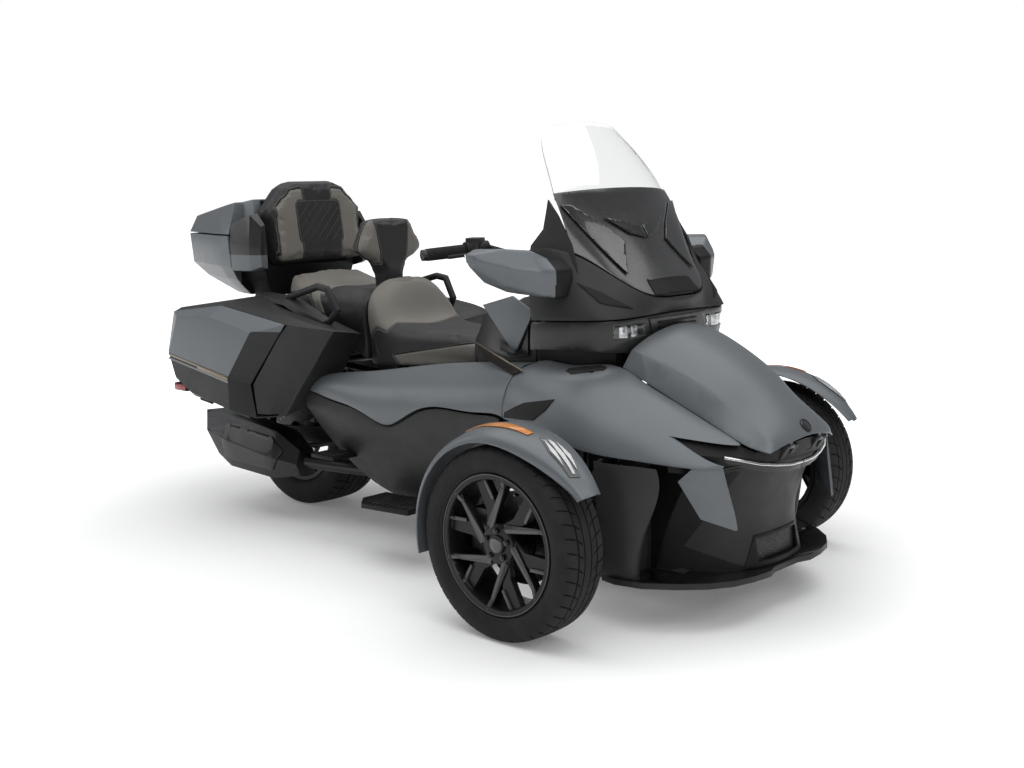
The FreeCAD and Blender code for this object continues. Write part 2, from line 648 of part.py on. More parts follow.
def side_ring(outline, y):
    return [(x, y, z) for x, z in outline]


def drawn_in(outline, d):
    cx = sum(x for x, z in outline) / len(outline)
    cz = sum(z for x, z in outline) / len(outline)
    half_x = max(abs(x - cx) for x, z in outline)
    half_z = max(abs(z - cz) for x, z in outline)
    return [(cx + (x - cx) * (1 - d / half_x), cz + (z - cz) * (1 - d / half_z)) for x, z in outline]


def side_shell(*stations):
    return prism(*[side_ring(outline, y) for outline, y in stations])


side_outer = side_shell((case_in, case_in_y), (case_mid, case_mid_y), (case_seam, case_seam_y - lid_gap / 2))
side_base = side_outer.cut(side_shell((drawn_in(case_in, wall), case_in_y + wall), (drawn_in(case_mid, wall), case_mid_y),
                                      (drawn_in(case_seam, wall), case_seam_y + 10)))
side_lid = side_shell((case_seam, case_seam_y + lid_gap / 2), (case_out, case_out_y))
side_lid = side_lid.cut(side_shell((drawn_in(case_seam, wall), case_seam_y - 10),
                                   (drawn_in(case_out, wall + 2), case_out_y - wall)))
hinge_rear = V(case_seam[3][0], case_seam_y, case_seam[3][1] - side_hinge_drop)
hinge_front = V(case_seam[4][0], case_seam_y, case_seam[4][1] - side_hinge_drop)
for t0, t1 in ((0.1, 0.28), (0.72, 0.9)):
    ends = [hinge_front + (hinge_rear - hinge_front) * t for t in (t0, t1)]
    fixed, turning = hinge_barrels(*ends)
    end_room, middle_room = hinge_pockets(*ends)
    side_base = side_base.cut(middle_room).fuse(fixed)
    side_lid = side_lid.cut(end_room).fuse(turning).cut(rod(*ends, hinge_pin_radius + running_gap))
side_base = largest(side_base.removeSplitter())
side_lid = largest(side_lid.removeSplitter())
save(both(side_base), "side_cases")
save(side_lid, "side_case_lid_left")
save(mirrored(side_lid), "side_case_lid_right")


# Rear fender with its blank number plate, tail lamps
def rear_guard():
    rows = []
    for degrees in (68, 90, 115, 140, 165, 185):
        a = math.radians(degrees)
        rows.append([(rear_axle_x + r * math.cos(a), y, rear_tyre_radius + r * math.sin(a))
                     for y, r in ((-138, 318), (-128, 338), (0, 346), (128, 338), (138, 318))])
    return panel(rows, (rear_axle_x, 0, rear_tyre_radius), skin)


guard = rear_guard()
plate_board = box(-1206, -1200, -115, 115, 390, 560)
plate_holes = [rod((-1230, s * 75, 530), (-1150, s * 75, 530), 3.5) for s in (-1, 1)]
guard = guard.fuse([box(-1202, -1135, -40, 40, 440, 500), plate_board]).cut(Part.Compound(plate_holes))
guard = guard.removeSplitter()
save(largest(guard), "rear_fender")
tail_lamp = largest(box(-1190, -1100, 285, 385, 655, 735).cut(side_outer))
save(both(tail_lamp), "tail_lamps")

# Front trunk and hood
hood_axis = (1400.0, 520.0)


def seam_at(x):
    t = (x - 917.0) / (1319.0 - 917.0)
    return 245 - 45 * t, 726 - 192 * t


def hood_rows():
    rows = []
    rows.append([(960, 0, 840), (952, 119, 823), (936, 222, 777), (920, *seam_at(917))])
    for x, top, mid, crease in ((1028, 822, (115, 804), (206, 745)),
                                (1130, 775, (110, 757), (190, 702)), (1226, 718, (100, 700), (172, 652)),
                                (1319, 645, (90, 629), (156, 586))):
        rows.append([(x, 0, top), (x, *mid), (x, *crease), (x, *seam_at(x))])
    rows.append([(1378, 0, 592), (1376, 95, 580), (1370, 165, 552), (1362, 190, 520)])
    rows.append([(length / 2, 0, 545), (1412, 80, 538), (1402, 140, 526), (1390, 176, 514)])
    return symmetric(rows)


hood = panel(hood_rows(), (1150, 0, 300), skin, (1, 5))
hood_brackets = []
for s in (-1, 1):
    ends = (s * 50.0, s * 110.0)
    low, high = min(ends), max(ends)
    fixed, turning = hinge_barrels(*[(hood_axis[0], y, hood_axis[1]) for y in ends])
    web = box(hood_axis[0] - 8, hood_axis[0] + 1, low + 21, high - 21, hood_axis[1] + 5.5, hood_axis[1] + 31)
    hood = hood.fuse([turning, web])
    hood_brackets.append(fixed)
    for y in (low, high - 19.5):
        hood_brackets.append(plate([(1364, y, 478), (1380, y, 478), (1405, y, 517), (1395, y, 524)], (0, 19.5, 0)))
hood = largest(hood.removeSplitter())
save(hood, "hood")
tub_top = [(1004, 205), (1010, 214), (1290, 178), (1300, 168)]
tub_floor = [(1104, 110), (1108, 118), (1262, 110), (1268, 100)]


def tub_slope(x):
    return 655 - (x - 1004) * 0.44


trunk = prism(ring_at(tub_floor, flat(452)), ring_at(tub_top, tub_slope))
trunk = trunk.cut(prism(ring_at(inset(tub_floor, wall), flat(452 + wall)),
                        ring_at(inset(tub_top, wall), lambda x: tub_slope(x) + 1)))
save(trunk, "front_trunk")


# Shoulder and accent panels
def shoulder_rows():
    rows = [[(600, 268, 716), (600, 318, 712), (600, 372, 694), (600, 418, 640), (600, 432, 562)],
            [(700, 262, 722), (700, 318, 717), (700, 380, 698), (700, 436, 638), (700, 452, 548)],
            [(800, 256, 725), (800, 318, 717), (800, 384, 696), (800, 446, 634), (800, 468, 534)]]
    for x, a, b, c, low in ((917, (305, 716), (372, 690), (446, 622), (482, 520)),
                            (1000, (292, 686), (362, 660), (438, 598), (480, 511)),
                            (1100, (275, 638), (335, 618), (400, 572), (442, 500)),
                            (1200, (255, 584), (303, 567), (356, 535), (394, 489)),
                            (1262, (242, 555), (276, 543), (318, 520), (352, 481))):
        y, z = seam_at(x)
        rows.append([(x, y + panel_gap, z), (x, *a), (x, *b), (x, *c), (x, *low)])
    rows.append([(1312, 207, 535), (1315, 226, 527), (1316, 250, 514), (1314, 276, 496), (1309, 292, 479)])
    return rows


shoulder = panel(shoulder_rows(), (900, 0, 300), skin)
gap_wedge = plate([(1166, 0, 563), (1345, 0, 526), (1345, 0, 470), (1310, 0, 483)], (0, 600, 0))
shoulder = shoulder.cut(gap_wedge)
slot = box(800, 872, 288, 330, 600, 800)
shoulder = largest(shoulder.cut(slot))
fang = prism([(1258, 354, 488), (1304, 294, 488), (1306, 288, 484), (1260, 348, 484)],
             [(1210, 368, 440), (1322, 284, 420), (1318, 276, 418), (1206, 360, 438)],
             [(1262, 330, 332), (1338, 274, 350), (1334, 266, 348), (1258, 322, 330)],
             [(1340, 272, 300), (1346, 268, 302), (1342, 262, 300), (1336, 266, 298)])
fang = largest(fang.cut(shoulder))
save(Part.Compound([shoulder, mirrored(shoulder), fang, mirrored(fang)]), "shoulder_panels")


def accent_rows():
    return [[(-430, 346, 560), (-430, 352, 550), (-430, 356, 538)],
            [(-350, 330, 602), (-350, 358, 578), (-350, 368, 530)],
            [(-200, 306, 622), (-200, 358, 590), (-200, 382, 514)],
            [(-68, 292, 640), (-68, 356, 600), (-68, 390, 484)],
            [(20, 282, 654), (20, 354, 611), (20, 391, 468)],
            [(140, 270, 673), (140, 352, 628), (140, 395, 522)],
            [(285, 254, 690), (285, 350, 650), (285, 400, 560)],
            [(450, 262, 706), (450, 360, 668), (450, 410, 562)],
            [(594, 268, 716), (594, 372, 694), (594, 430, 564)]]


accent = largest(panel(accent_rows(), (0, 0, 400), skin).cut(side_outer))
save(both(accent), "accent_panels")


def lower_rows():
    return [[(-478, 340, 540), (-478, 346, 500), (-478, 320, 455), (-478, 300, 425)],
            [(-350, 360, 522), (-350, 364, 470), (-350, 332, 392), (-350, 300, 330)],
            [(-200, 374, 506), (-200, 377, 436), (-200, 342, 340), (-200, 303, 248)],
            [(-68, 380, 476), (-68, 380, 420), (-68, 345, 310), (-68, 305, 206)],
            [(20, 382, 460), (20, 381, 415), (20, 347, 302), (20, 307, 190)],
            [(140, 387, 513), (140, 384, 420), (140, 351, 294), (140, 310, 172)],
            [(285, 391, 551), (285, 388, 440), (285, 356, 290), (285, 314, 158)],
            [(450, 402, 553), (450, 398, 445), (450, 364, 295), (450, 318, 156)],
            [(572, 420, 555), (572, 408, 450), (572, 372, 300), (572, 322, 156)]]


lower = largest(panel(lower_rows(), (0, 0, 400), skin).cut(side_outer))
belly = box(-300, 1078, -128, 128, floor_z, floor_z + skin)
save(Part.Compound([lower, mirrored(lower), belly]), "lower_panels")


# Nose: prow, pillars, splitter and grille
def prow_rows():
    return symmetric([[(1392, 0, 492), (1384, 100, 490), (1350, 190, 486), (1300, 262, 470), (1238, 330, 462)],
                      [(1352, 0, 440), (1342, 100, 436), (1312, 180, 430), (1262, 250, 420), (1196, 318, 410)],
                      [(1318, 0, 360), (1308, 100, 356), (1284, 170, 350), (1226, 250, 340), (1150, 310, 330)],
                      [(1308, 0, 270), (1300, 100, 268), (1272, 165, 262), (1206, 240, 250), (1110, 300, 240)],
                      [(1322, 0, 200), (1312, 100, 198), (1280, 170, 194), (1205, 240, 186), (1090, 300, 176)],
                      [(1330, 0, 140), (1318, 100, 140), (1284, 176, 140), (1205, 246, 140), (1085, 305, 140)]])


prow = panel(prow_rows(), (1000, 0, 320), skin)
grille_hole = box(1200, 1420, -108, 108, 168, 236)


def pillar_rows():
    return [[(1000, 484, 492), (1010, 492, 420), (1012, 488, 300), (1004, 478, 200), (996, 452, 140)],
            [(1060, 474, 488), (1070, 478, 420), (1074, 474, 300), (1068, 466, 200), (1058, 448, 140)],
            [(1130, 436, 482), (1140, 436, 420), (1134, 442, 300), (1120, 444, 205), (1114, 432, 140)],
            [(1164, 408, 476), (1168, 398, 432), (1140, 418, 300), (1118, 420, 205), (1112, 412, 140)]]


pillar = panel(pillar_rows(), (900, 300, 320), skin)
splitter_outline = [(1002, 452), (1058, 463), (1142, 446), (1228, 388), (1290, 330), (1332, 262), (1352, 186),
                    (1360, 112), (1345, 64)]
splitter_ring = [(x, y, 132) for x, y in splitter_outline] + [(x, -y, 132) for x, y in reversed(splitter_outline)]
splitter = plate(splitter_ring, (0, 0, 18))
splitter = splitter.cut(box(900, 1180, -330, 330, 100, 180))
bumper = prow.cut(grille_hole).fuse([pillar, mirrored(pillar), splitter])
back_wall = box(1060, 1066, 296, 440, 145, 470)
bumper = bumper.fuse([back_wall, mirrored(back_wall)] + hood_brackets).removeSplitter()
bumper = bumper.cut(Part.Compound([fang, mirrored(fang), shoulder, mirrored(shoulder)]))
save(bumper, "nose_bumper")
grille = panel(symmetric([[(1304, 0, 250), (1294, 125, 250)], [(1312, 0, 158), (1300, 125, 158)]]),
               (1000, 0, 200), 3)
grille = largest(grille.cut(bumper))
save(grille, "grille")

# Upper fairing, lamps, screen, mirrors
brow = panel(symmetric([[(950, 0, 880), (948, 150, 878), (925, 285, 874), (789, 372, 870), (672, 376, 864)],
                        [(962, 0, 902), (944, 150, 905), (895, 275, 925), (785, 350, 958), (655, 366, 955)],
                        [(960, 0, 924), (942, 140, 934), (850, 230, 1005), (775, 300, 1062), (640, 345, 1075)]]),
             (700, 0, 850), skin)
wing = plate([(805, 311, 1004), (629, 311, 1062), (629, 311, 1086), (668, 311, 1137), (676, 311, 1227),
              (716, 311, 1180), (772, 311, 1092)], (0, 8, 0))
wing.rotate(V(720, 315, 1046), V(1, 0, 0), 11)
wing.rotate(V(720, 315, 1046), V(0, 0, 1), -9.7)
fairing = brow.fuse([wing, mirrored(wing)]).removeSplitter()

lamp_face = panel(symmetric([[(944, 0, 874), (942, 150, 872), (918, 283, 868), (784, 368, 864), (668, 371, 858)],
                             [(938, 0, 815), (938, 150, 815), (916, 284, 818), (782, 370, 822), (664, 373, 818)],
                             [(926, 0, 762), (925, 150, 765), (905, 282, 772), (770, 366, 780), (660, 368, 772)]]),
                  (600, 0, 820), skin)
lens_y = (158.0, 284.0)
lens_z = (812.0, 852.0)
eye_box = box(850, 1000, *lens_y, *lens_z)
eye_core = box(850, 1000, lens_y[0] + seat_gap, lens_y[1] - seat_gap, lens_z[0] + seat_gap, lens_z[1] - seat_gap)
lamp_body = lamp_face.cut(Part.Compound([eye_box, mirrored(eye_box)]))
save(lamp_body, "headlamps")
save(lamp_face.common(Part.Compound([eye_core, mirrored(eye_core)])), "headlamp_lenses")

screen_low = symmetric([[(955, 0, 930), (936, 140, 940), (846, 228, 1011), (771, 296, 1068)],
                        [(872, 0, 1030), (848, 140, 1040), (795, 234, 1090), (748, 293, 1124)],
                        [(794, 0, 1145), (776, 144, 1150), (742, 240, 1176), (720, 290, 1186)],
                        [(738, 0, 1257), (728, 148, 1254), (706, 238, 1248), (686, 284, 1243)]])
screen_high = symmetric([[(742.5, 0, 1236), (732.5, 146, 1233), (710.5, 235, 1227), (690, 280, 1222)],
                         [(682, 0, 1340), (673, 136, 1337), (653, 212, 1331), (634, 254, 1326)],
                         [(632, 0, 1408), (624, 118, 1404), (606, 190, 1396), (590, 224, 1388)],
                         [(592, 0, height), (586, 96, height - 5), (573, 158, height - 18), (562, 192, height - 38)]])
screen_panel = panel(screen_low, (400, 0, 1050), skin)
windscreen = panel(screen_high, (200, 0, 1250), skin)
fairing = largest(fairing.cut(screen_panel))
save(fairing, "front_fairing")
save(screen_panel, "screen_panel")
save(largest(windscreen.cut(screen_panel)), "windscreen")

mirror = prism([(722, 330, 950), (800, 330, 936), (802, 330, 1020), (762, 330, 1052), (700, 330, 1040)],
               [(722, 388, 950), (800, 388, 936), (802, 388, 1020), (762, 388, 1052), (700, 388, 1040)],
               [(640, 450, 952), (768, 450, 946), (778, 450, 1020), (742, 450, 1082), (600, 450, 1076)],
               [(612, 520, 985), (700, 520, 975), (726, 520, 1030), (690, 520, 1088), (570, 520, 1084)],
               [(616, 590, 1040), (640, 590, 1036), (650, 590, 1056), (640, 590, 1074), (606, 590, 1074)])
mirror = largest(mirror.cut(fairing))
save(both(mirror), "mirrors")

# Cockpit: centre console and instruments
console_outer = prism([(212, 150, 690), (212, 150, 742), (212, 100, 762), (212, -100, 762), (212, -150, 742),
                       (212, -150, 690)],
                      [(300, 214, 680), (300, 206, 812), (300, 130, 846), (300, -130, 846), (300, -206, 812),
                       (300, -214, 680)],
                      [(440, 250, 705), (440, 240, 860), (440, 150, 905), (440, -150, 905), (440, -240, 860),
                       (440, -250, 705)],
                      [(590, 262, 716), (590, 262, 880), (590, 170, 935), (590, -170, 935), (590, -262, 880),
                       (590, -262, 716)])
console_inner = prism([(208, 145, 600), (208, 145, 738), (208, 98, 757), (208, -98, 757), (208, -145, 738),
                       (208, -145, 600)],
                      [(300, 209, 600), (300, 201, 808), (300, 128, 841), (300, -128, 841), (300, -201, 808),
                       (300, -209, 600)],
                      [(440, 245, 600), (440, 235, 857), (440, 148, 900), (440, -148, 900), (440, -235, 857),
                       (440, -245, 600)],
                      [(600, 257, 600), (600, 257, 876), (600, 168, 930), (600, -168, 930), (600, -257, 876),
                       (600, -257, 600)])
column_way = Part.makeCylinder(26, 400, column_low - (column_top - column_low) * 0.6, column_top - column_low)
console = console_outer.cut(console_inner).cut(column_way).cut(chassis)
save(largest(console), "console")
dash = prism([(560, 150, 960), (560, -150, 960), (560, -150, 1060), (560, 150, 1060)],
             [(630, 170, 975), (630, -170, 975), (620, -170, 1085), (620, 170, 1085)])
screen_stays = [rod((600, s * 90, 1030), (930, s * 90, 1020), 7) for s in (-1, 1)]
dash = largest(dash.fuse(screen_stays).cut(screen_panel).cut(chassis))
save(dash, "dash")

# Passenger handles, foot boards
handle = bent_bar([(-330, 292, 826), (-380, 300, 905), (-430, 300, 912), (-620, 286, 862)], 13)
handle_panel = prism([(-372, 300, 752), (-372, 330, 752), (-372, 330, 790), (-372, 300, 800)],
                     [(-600, 262, 800), (-600, 330, 838), (-600, 320, 850), (-600, 262, 866)],
                     [(-830, 240, 852), (-830, 290, 845), (-830, 280, 866), (-830, 240, 872)])
handle_set = fused(handle_panel, handle, rod((-380, 310, 770), (-332, 292, 830), 12))
handle_set = largest(handle_set.cut(Part.Compound([side_base, top_case, back])))
save(both(handle_set), "grab_handles")
board = prism([(-58, 330, 196), (-58, 440, 196), (-58, 440, 212), (-58, 330, 212)],
              [(0, 330, 196), (0, 498, 196), (0, 498, 212), (0, 330, 212)],
              [(230, 330, 206), (230, 498, 206), (230, 498, 222), (230, 330, 222)])
stay_bar = rod((90, 150, 205), (90, 340, 206), 11)
peg = fused(box(-330, -210, 325, 440, 318, 332), rod((-270, 150, 288), (-270, 330, 322), 10))
boards = largest(fused(board, stay_bar).cut(Part.Compound([chassis, lower])))
peg = largest(peg.cut(Part.Compound([chassis, lower])))
save(Part.Compound([boards, mirrored(boards), peg, mirrored(peg)]), "footboards")

# The frame last, with its stays cut off at the panels that they carry
seat_posts = [rod((x, s * upper_y, 560), (x, s * upper_y * 0.8, 660), 10) for x in (60, -180) for s in (-1, 1)]
lowered_seat = rider_seat.copy()
lowered_seat.translate(V(0, 0, -seat_gap))
seat_posts = [largest(post.cut(lowered_seat)) for post in seat_posts]
carried = [side_base, mirrored(side_base), top_case, back, guard, shoulder, mirrored(shoulder), accent,
           mirrored(accent), lower, mirrored(lower), bumper, trunk, lamp_body, fairing, handle_set,
           mirrored(handle_set), muffler, belly]
frame_shape = chassis.fuse(seat_posts)
for piece in carried:
    frame_shape = frame_shape.cut(piece)
save(largest(frame_shape), "frame")
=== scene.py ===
"""Visual model of a touring motor trike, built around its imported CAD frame.

Panels are the CAD skins with rounded edges; tyres, upholstery, trim and small
fittings are modelled here. Lengths are in millimetres unless a comment says
metres, and colours are linear. +X is forward, +Y is the rider's left and +Z is up.
"""

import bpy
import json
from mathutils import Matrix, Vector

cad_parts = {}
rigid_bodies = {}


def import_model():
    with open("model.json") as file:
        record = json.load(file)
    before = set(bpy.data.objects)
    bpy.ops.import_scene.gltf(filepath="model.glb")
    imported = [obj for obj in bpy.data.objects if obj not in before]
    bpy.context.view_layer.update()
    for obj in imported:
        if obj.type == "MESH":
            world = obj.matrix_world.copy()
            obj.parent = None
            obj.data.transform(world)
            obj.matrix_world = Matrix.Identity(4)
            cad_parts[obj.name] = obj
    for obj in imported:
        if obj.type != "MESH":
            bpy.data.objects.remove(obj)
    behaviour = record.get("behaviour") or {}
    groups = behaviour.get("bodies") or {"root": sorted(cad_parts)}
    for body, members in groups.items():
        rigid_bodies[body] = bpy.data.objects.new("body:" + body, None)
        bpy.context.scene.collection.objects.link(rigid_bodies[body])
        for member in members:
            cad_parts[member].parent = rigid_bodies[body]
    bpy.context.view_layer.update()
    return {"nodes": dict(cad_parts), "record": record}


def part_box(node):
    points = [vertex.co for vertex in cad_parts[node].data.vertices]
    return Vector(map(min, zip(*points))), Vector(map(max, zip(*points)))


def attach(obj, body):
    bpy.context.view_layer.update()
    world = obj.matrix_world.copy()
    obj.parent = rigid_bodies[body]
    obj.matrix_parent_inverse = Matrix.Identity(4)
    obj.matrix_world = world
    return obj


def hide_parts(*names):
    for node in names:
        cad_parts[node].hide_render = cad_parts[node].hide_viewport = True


bl_info = {
    "name": "Touring motor trike",
    "version": (1, 0, 0),
    "blender": (4, 5, 0),
    "location": "3D View > Sidebar > Trike",
    "description": "Builds the visual pieces of a touring motor trike on its CAD frame",
    "category": "Object",
}

import json
import math

import bmesh
import bpy
from bpy.props import FloatProperty, FloatVectorProperty, IntProperty, PointerProperty
from mathutils import Matrix, Vector
from mathutils.bvhtree import BVHTree

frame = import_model()

BODY_OF = {node: body for body, nodes in frame["record"]["behaviour"]["bodies"].items() for node in nodes}
SIDES = (-1, 1)

# Wheels: centres, then each tyre's radius and width, where its bead sits and how far the rim's lip reaches
FRONT_RADIUS, REAR_RADIUS = 281.0, 303.0
FRONT_WIDTH, REAR_WIDTH = 165.0, 225.0
BEAD_RADIUS, LIP_RADIUS = 190.5, 203.0
WHEELS = {"left": (872.0, 695.0, FRONT_RADIUS), "right": (872.0, -695.0, FRONT_RADIUS),
          "rear": (-842.0, 0.0, REAR_RADIUS)}

# Limits of the mesh work: merging and cutting in metres, angles in degrees, depth in millimetres
MERGE, TOUCH = 1e-5, 1e-6
FLAT = 0.5
GRAZING = 0.12
PATCH_DEPTH = 120.0


# Lengths and places
def mm(value):
    """A length in millimetres, in metres."""
    return value / 1000.0


def at(point):
    """A point in millimetres, as a vector in metres."""
    return Vector(point) / 1000.0


def clamp(value, low=0.0, high=1.0):
    return max(low, min(high, value))


def smooth(value):
    t = clamp(value)
    return t * t * (3 - 2 * t)


# Materials
class Surface:
    """One procedural material, read in the row frame through Object coordinates."""

    def __init__(self, name):
        self.material = bpy.data.materials.new(name)
        self.material.use_nodes = True
        self.tree = self.material.node_tree
        self.tree.nodes.clear()
        self.out = self.node("ShaderNodeOutputMaterial")
        self.shader = self.node("ShaderNodeBsdfPrincipled")
        self.link(self.shader.outputs[0], self.out.inputs[0])
        self.where = self.node("ShaderNodeTexCoord").outputs["Object"]
        self.normal = None

    def node(self, kind, **values):
        made = self.tree.nodes.new(kind)
        for key, value in values.items():
            setattr(made, key, value)
        return made

    def link(self, a, b):
        self.tree.links.new(a, b)

    def set(self, **values):
        """Sets constant sockets; underscores in a name stand for spaces."""
        for key, value in values.items():
            self.shader.inputs[key.replace("_", " ")].default_value = value
        return self

    def stretched(self, scale):
        mapping = self.node("ShaderNodeMapping")
        mapping.inputs["Scale"].default_value = scale
        self.link(self.where, mapping.inputs["Vector"])
        return mapping.outputs[0]

    def noise(self, scale, detail=3.0, stretch=None):
        made = self.node("ShaderNodeTexNoise")
        made.inputs["Scale"].default_value = scale
        made.inputs["Detail"].default_value = detail
        self.link(self.stretched(stretch) if stretch else self.where, made.inputs["Vector"])
        return made.outputs[0]

    def cells(self, scale, feature="F1"):
        made = self.node("ShaderNodeTexVoronoi", feature=feature)
        made.inputs["Scale"].default_value = scale
        self.link(self.where, made.inputs["Vector"])
        return made.outputs[0]

    def attribute(self, name):
        return self.node("ShaderNodeAttribute", attribute_name=name).outputs["Fac"]

    def remap(self, value, low, high, to_low=0.0, to_high=1.0):
        made = self.node("ShaderNodeMapRange")
        for key, number in (("From Min", low), ("From Max", high), ("To Min", to_low), ("To Max", to_high)):
            made.inputs[key].default_value = number
        self.link(value, made.inputs["Value"])
        return made.outputs[0]

    def maths(self, operation, a, b=None):
        made = self.node("ShaderNodeMath", operation=operation)
        for index, value in enumerate((a, b)):
            if value is None:
                continue
            if isinstance(value, (int, float)):
                made.inputs[index].default_value = value
            else:
                self.link(value, made.inputs[index])
        return made.outputs[0]

    def blend(self, factor, a, b):
        made = self.node("ShaderNodeMix", data_type="RGBA")
        self.link(factor, made.inputs[0])
        for index, value in ((6, a), (7, b)):
            if isinstance(value, (tuple, list)):
                made.inputs[index].default_value = (*value[:3], 1.0)
            else:
                self.link(value, made.inputs[index])
        return made.outputs[2]

    def colour(self, value):
        self.link(value, self.shader.inputs["Base Color"])
        return self

    def roughness(self, source, low, high):
        self.link(self.remap(source, 0.3, 0.7, low, high), self.shader.inputs["Roughness"])
        return self

    def bump(self, height, strength, distance):
        made = self.node("ShaderNodeBump")
        made.inputs["Strength"].default_value = strength
        made.inputs["Distance"].default_value = distance
        self.link(height, made.inputs["Height"])
        if self.normal is not None:
            self.link(self.normal, made.inputs["Normal"])
        self.normal = made.outputs[0]
        self.link(self.normal, self.shader.inputs["Normal"])
        return self


def shade(colour, factor):
    return tuple(clamp(channel * factor) for channel in colour[:3])


def plastic(name, colour, rough, grain=900.0, depth=0.12, **constants):
    """Moulded plastic or coated metal: a fine grain, and a slow drift of colour and gloss."""
    made = Surface(name)
    drift = made.noise(6.0)
    made.colour(made.blend(drift, shade(colour, 0.82), shade(colour, 1.18)))
    made.roughness(made.noise(22.0), rough - 0.05, rough + 0.05)
    made.bump(made.noise(grain, 2.0), depth, 0.0004)
    made.set(**constants)
    return made.material


def metal(name, colour, rough, stretch=None, grain=240.0, depth=0.08, **constants):
    made = Surface(name)
    marks = made.noise(grain, 3.0, stretch)
    made.colour(made.blend(marks, shade(colour, 0.75), shade(colour, 1.15)))
    made.roughness(marks, rough - 0.07, rough + 0.09)
    made.bump(marks, depth, 0.0004)
    made.set(Metallic=1.0, **constants)
    return made.material


def paint(name, colour):
    """Satin metallic paint: flakes under a thin coat with a slight orange peel."""
    made = Surface(name)
    flakes = made.cells(2600.0)
    base = made.blend(made.noise(5.0), shade(colour, 0.95), shade(colour, 1.05))
    made.colour(made.blend(made.remap(flakes, 0.2, 0.9, 0.0, 0.22), base, shade(colour, 1.7)))
    made.roughness(made.noise(30.0), 0.36, 0.43)
    made.bump(made.noise(420.0, 1.0), 0.03, 0.0004)
    made.bump(flakes, 0.05, 0.0001)
    made.set(Metallic=0.25, Coat_Weight=0.08, Coat_Roughness=0.3, Specular_IOR_Level=0.25)
    return made.material


def rubber(name, colour):
    made = Surface(name)
    dust = made.noise(14.0, 5.0)
    made.colour(made.blend(made.remap(dust, 0.45, 0.75), colour, shade(colour, 2.0)))
    made.roughness(dust, 0.62, 0.8)
    made.bump(made.noise(1500.0, 2.0), 0.2, 0.0003)
    made.set(Specular_IOR_Level=0.22)
    return made.material


def leather(name, dark, light, quilted=False):
    """Grained leather in two colours: the mesh attribute panel is the distance in metres to the
    seam between them, positive on the light one. A double row of stitches follows the seam."""
    made = Surface(name)
    seam = made.attribute("panel")
    tone = made.noise(9.0, 4.0)
    dark_tone = made.blend(tone, shade(dark, 0.8), shade(dark, 1.3))
    light_tone = made.blend(tone, shade(light, 0.88), shade(light, 1.1))
    mixed = made.blend(made.remap(seam, -0.0003, 0.0003), dark_tone, light_tone)
    gap = made.maths("ABSOLUTE", made.maths("SUBTRACT", made.maths("ABSOLUTE", seam), 0.0052))
    row = made.remap(gap, 0.0009, 0.0004)
    separate = made.node("ShaderNodeSeparateXYZ")
    made.link(made.where, separate.inputs[0])
    x, y, z = separate.outputs
    along = made.maths("ADD", made.maths("ADD", x, y), z)
    dash = made.remap(made.maths("SINE", made.maths("MULTIPLY", along, 1300.0)), -0.5, -0.2)
    stitch = made.maths("MULTIPLY", row, dash)
    made.colour(made.blend(stitch, mixed, shade(light, 1.25)))
    grain = made.cells(520.0)
    made.roughness(tone, 0.4, 0.56)
    made.bump(grain, 0.28, 0.0006)
    made.bump(made.noise(60.0, 3.0), 0.12, 0.001)
    made.bump(stitch, 0.6, 0.0008)
    made.bump(made.remap(made.maths("ABSOLUTE", seam), 0.0, 0.0022), 0.9, 0.002)
    if quilted:
        weight = made.attribute("quilt")
        lines = None
        for sign in ("ADD", "SUBTRACT"):
            wave = made.maths("SINE", made.maths("MULTIPLY", made.maths(sign, y, z), 78.0))
            line = made.remap(made.maths("ABSOLUTE", wave), 0.0, 0.16, 1.0, 0.0)
            lines = line if lines is None else made.maths("MAXIMUM", lines, line)
        made.bump(made.maths("SUBTRACT", 1.0, made.maths("MULTIPLY", lines, weight)), 0.6, 0.0016)
    made.set(Sheen_Weight=0.05, Sheen_Roughness=0.5, Specular_IOR_Level=0.32)
    return made.material


def clear(name, colour, rough, **constants):
    made = Surface(name)
    made.colour(made.blend(made.noise(3.0), shade(colour, 0.985), colour))
    made.roughness(made.noise(12.0), rough, rough + 0.02)
    made.set(Transmission_Weight=1.0, IOR=1.46, **constants)
    return made.material


def lens(name, colour, pitch, axis, **constants):
    """A moulded lens with fine ribs across one axis, and painted shade darkening the troughs of the ribs."""
    made = Surface(name)
    separate = made.node("ShaderNodeSeparateXYZ")
    made.link(made.where, separate.inputs[0])
    ribs = made.maths("SINE", made.maths("MULTIPLY", separate.outputs[axis], 2 * math.pi / mm(pitch)))
    # Painted shade: the colour drops to 0.72 of itself in the troughs of the ribs
    made.colour(made.blend(made.remap(ribs, -1.0, 1.0), shade(colour, 0.72), colour))
    made.roughness(made.noise(20.0), 0.08, 0.16)
    made.bump(ribs, 0.35, 0.0008)
    made.set(**constants)
    return made.material


def mesh_weave(name, colour, pitch):
    """Black grille mesh: thin ribs, with painted shade in the cells between them for the dark seen through the
    holes.
    """
    made = Surface(name)
    ribs = made.cells(1000.0 / pitch, "DISTANCE_TO_EDGE")
    painted_shade_cells = made.remap(ribs, 0.06, 0.14)
    # The cells are painted shade, far darker than the ribs
    made.colour(made.blend(painted_shade_cells, shade(colour, 2.2), shade(colour, 0.3)))
    made.roughness(made.noise(30.0), 0.4, 0.5)
    made.bump(made.maths("SUBTRACT", 1.0, painted_shade_cells), 0.8, 0.002)
    return made.material


MATERIALS = {}


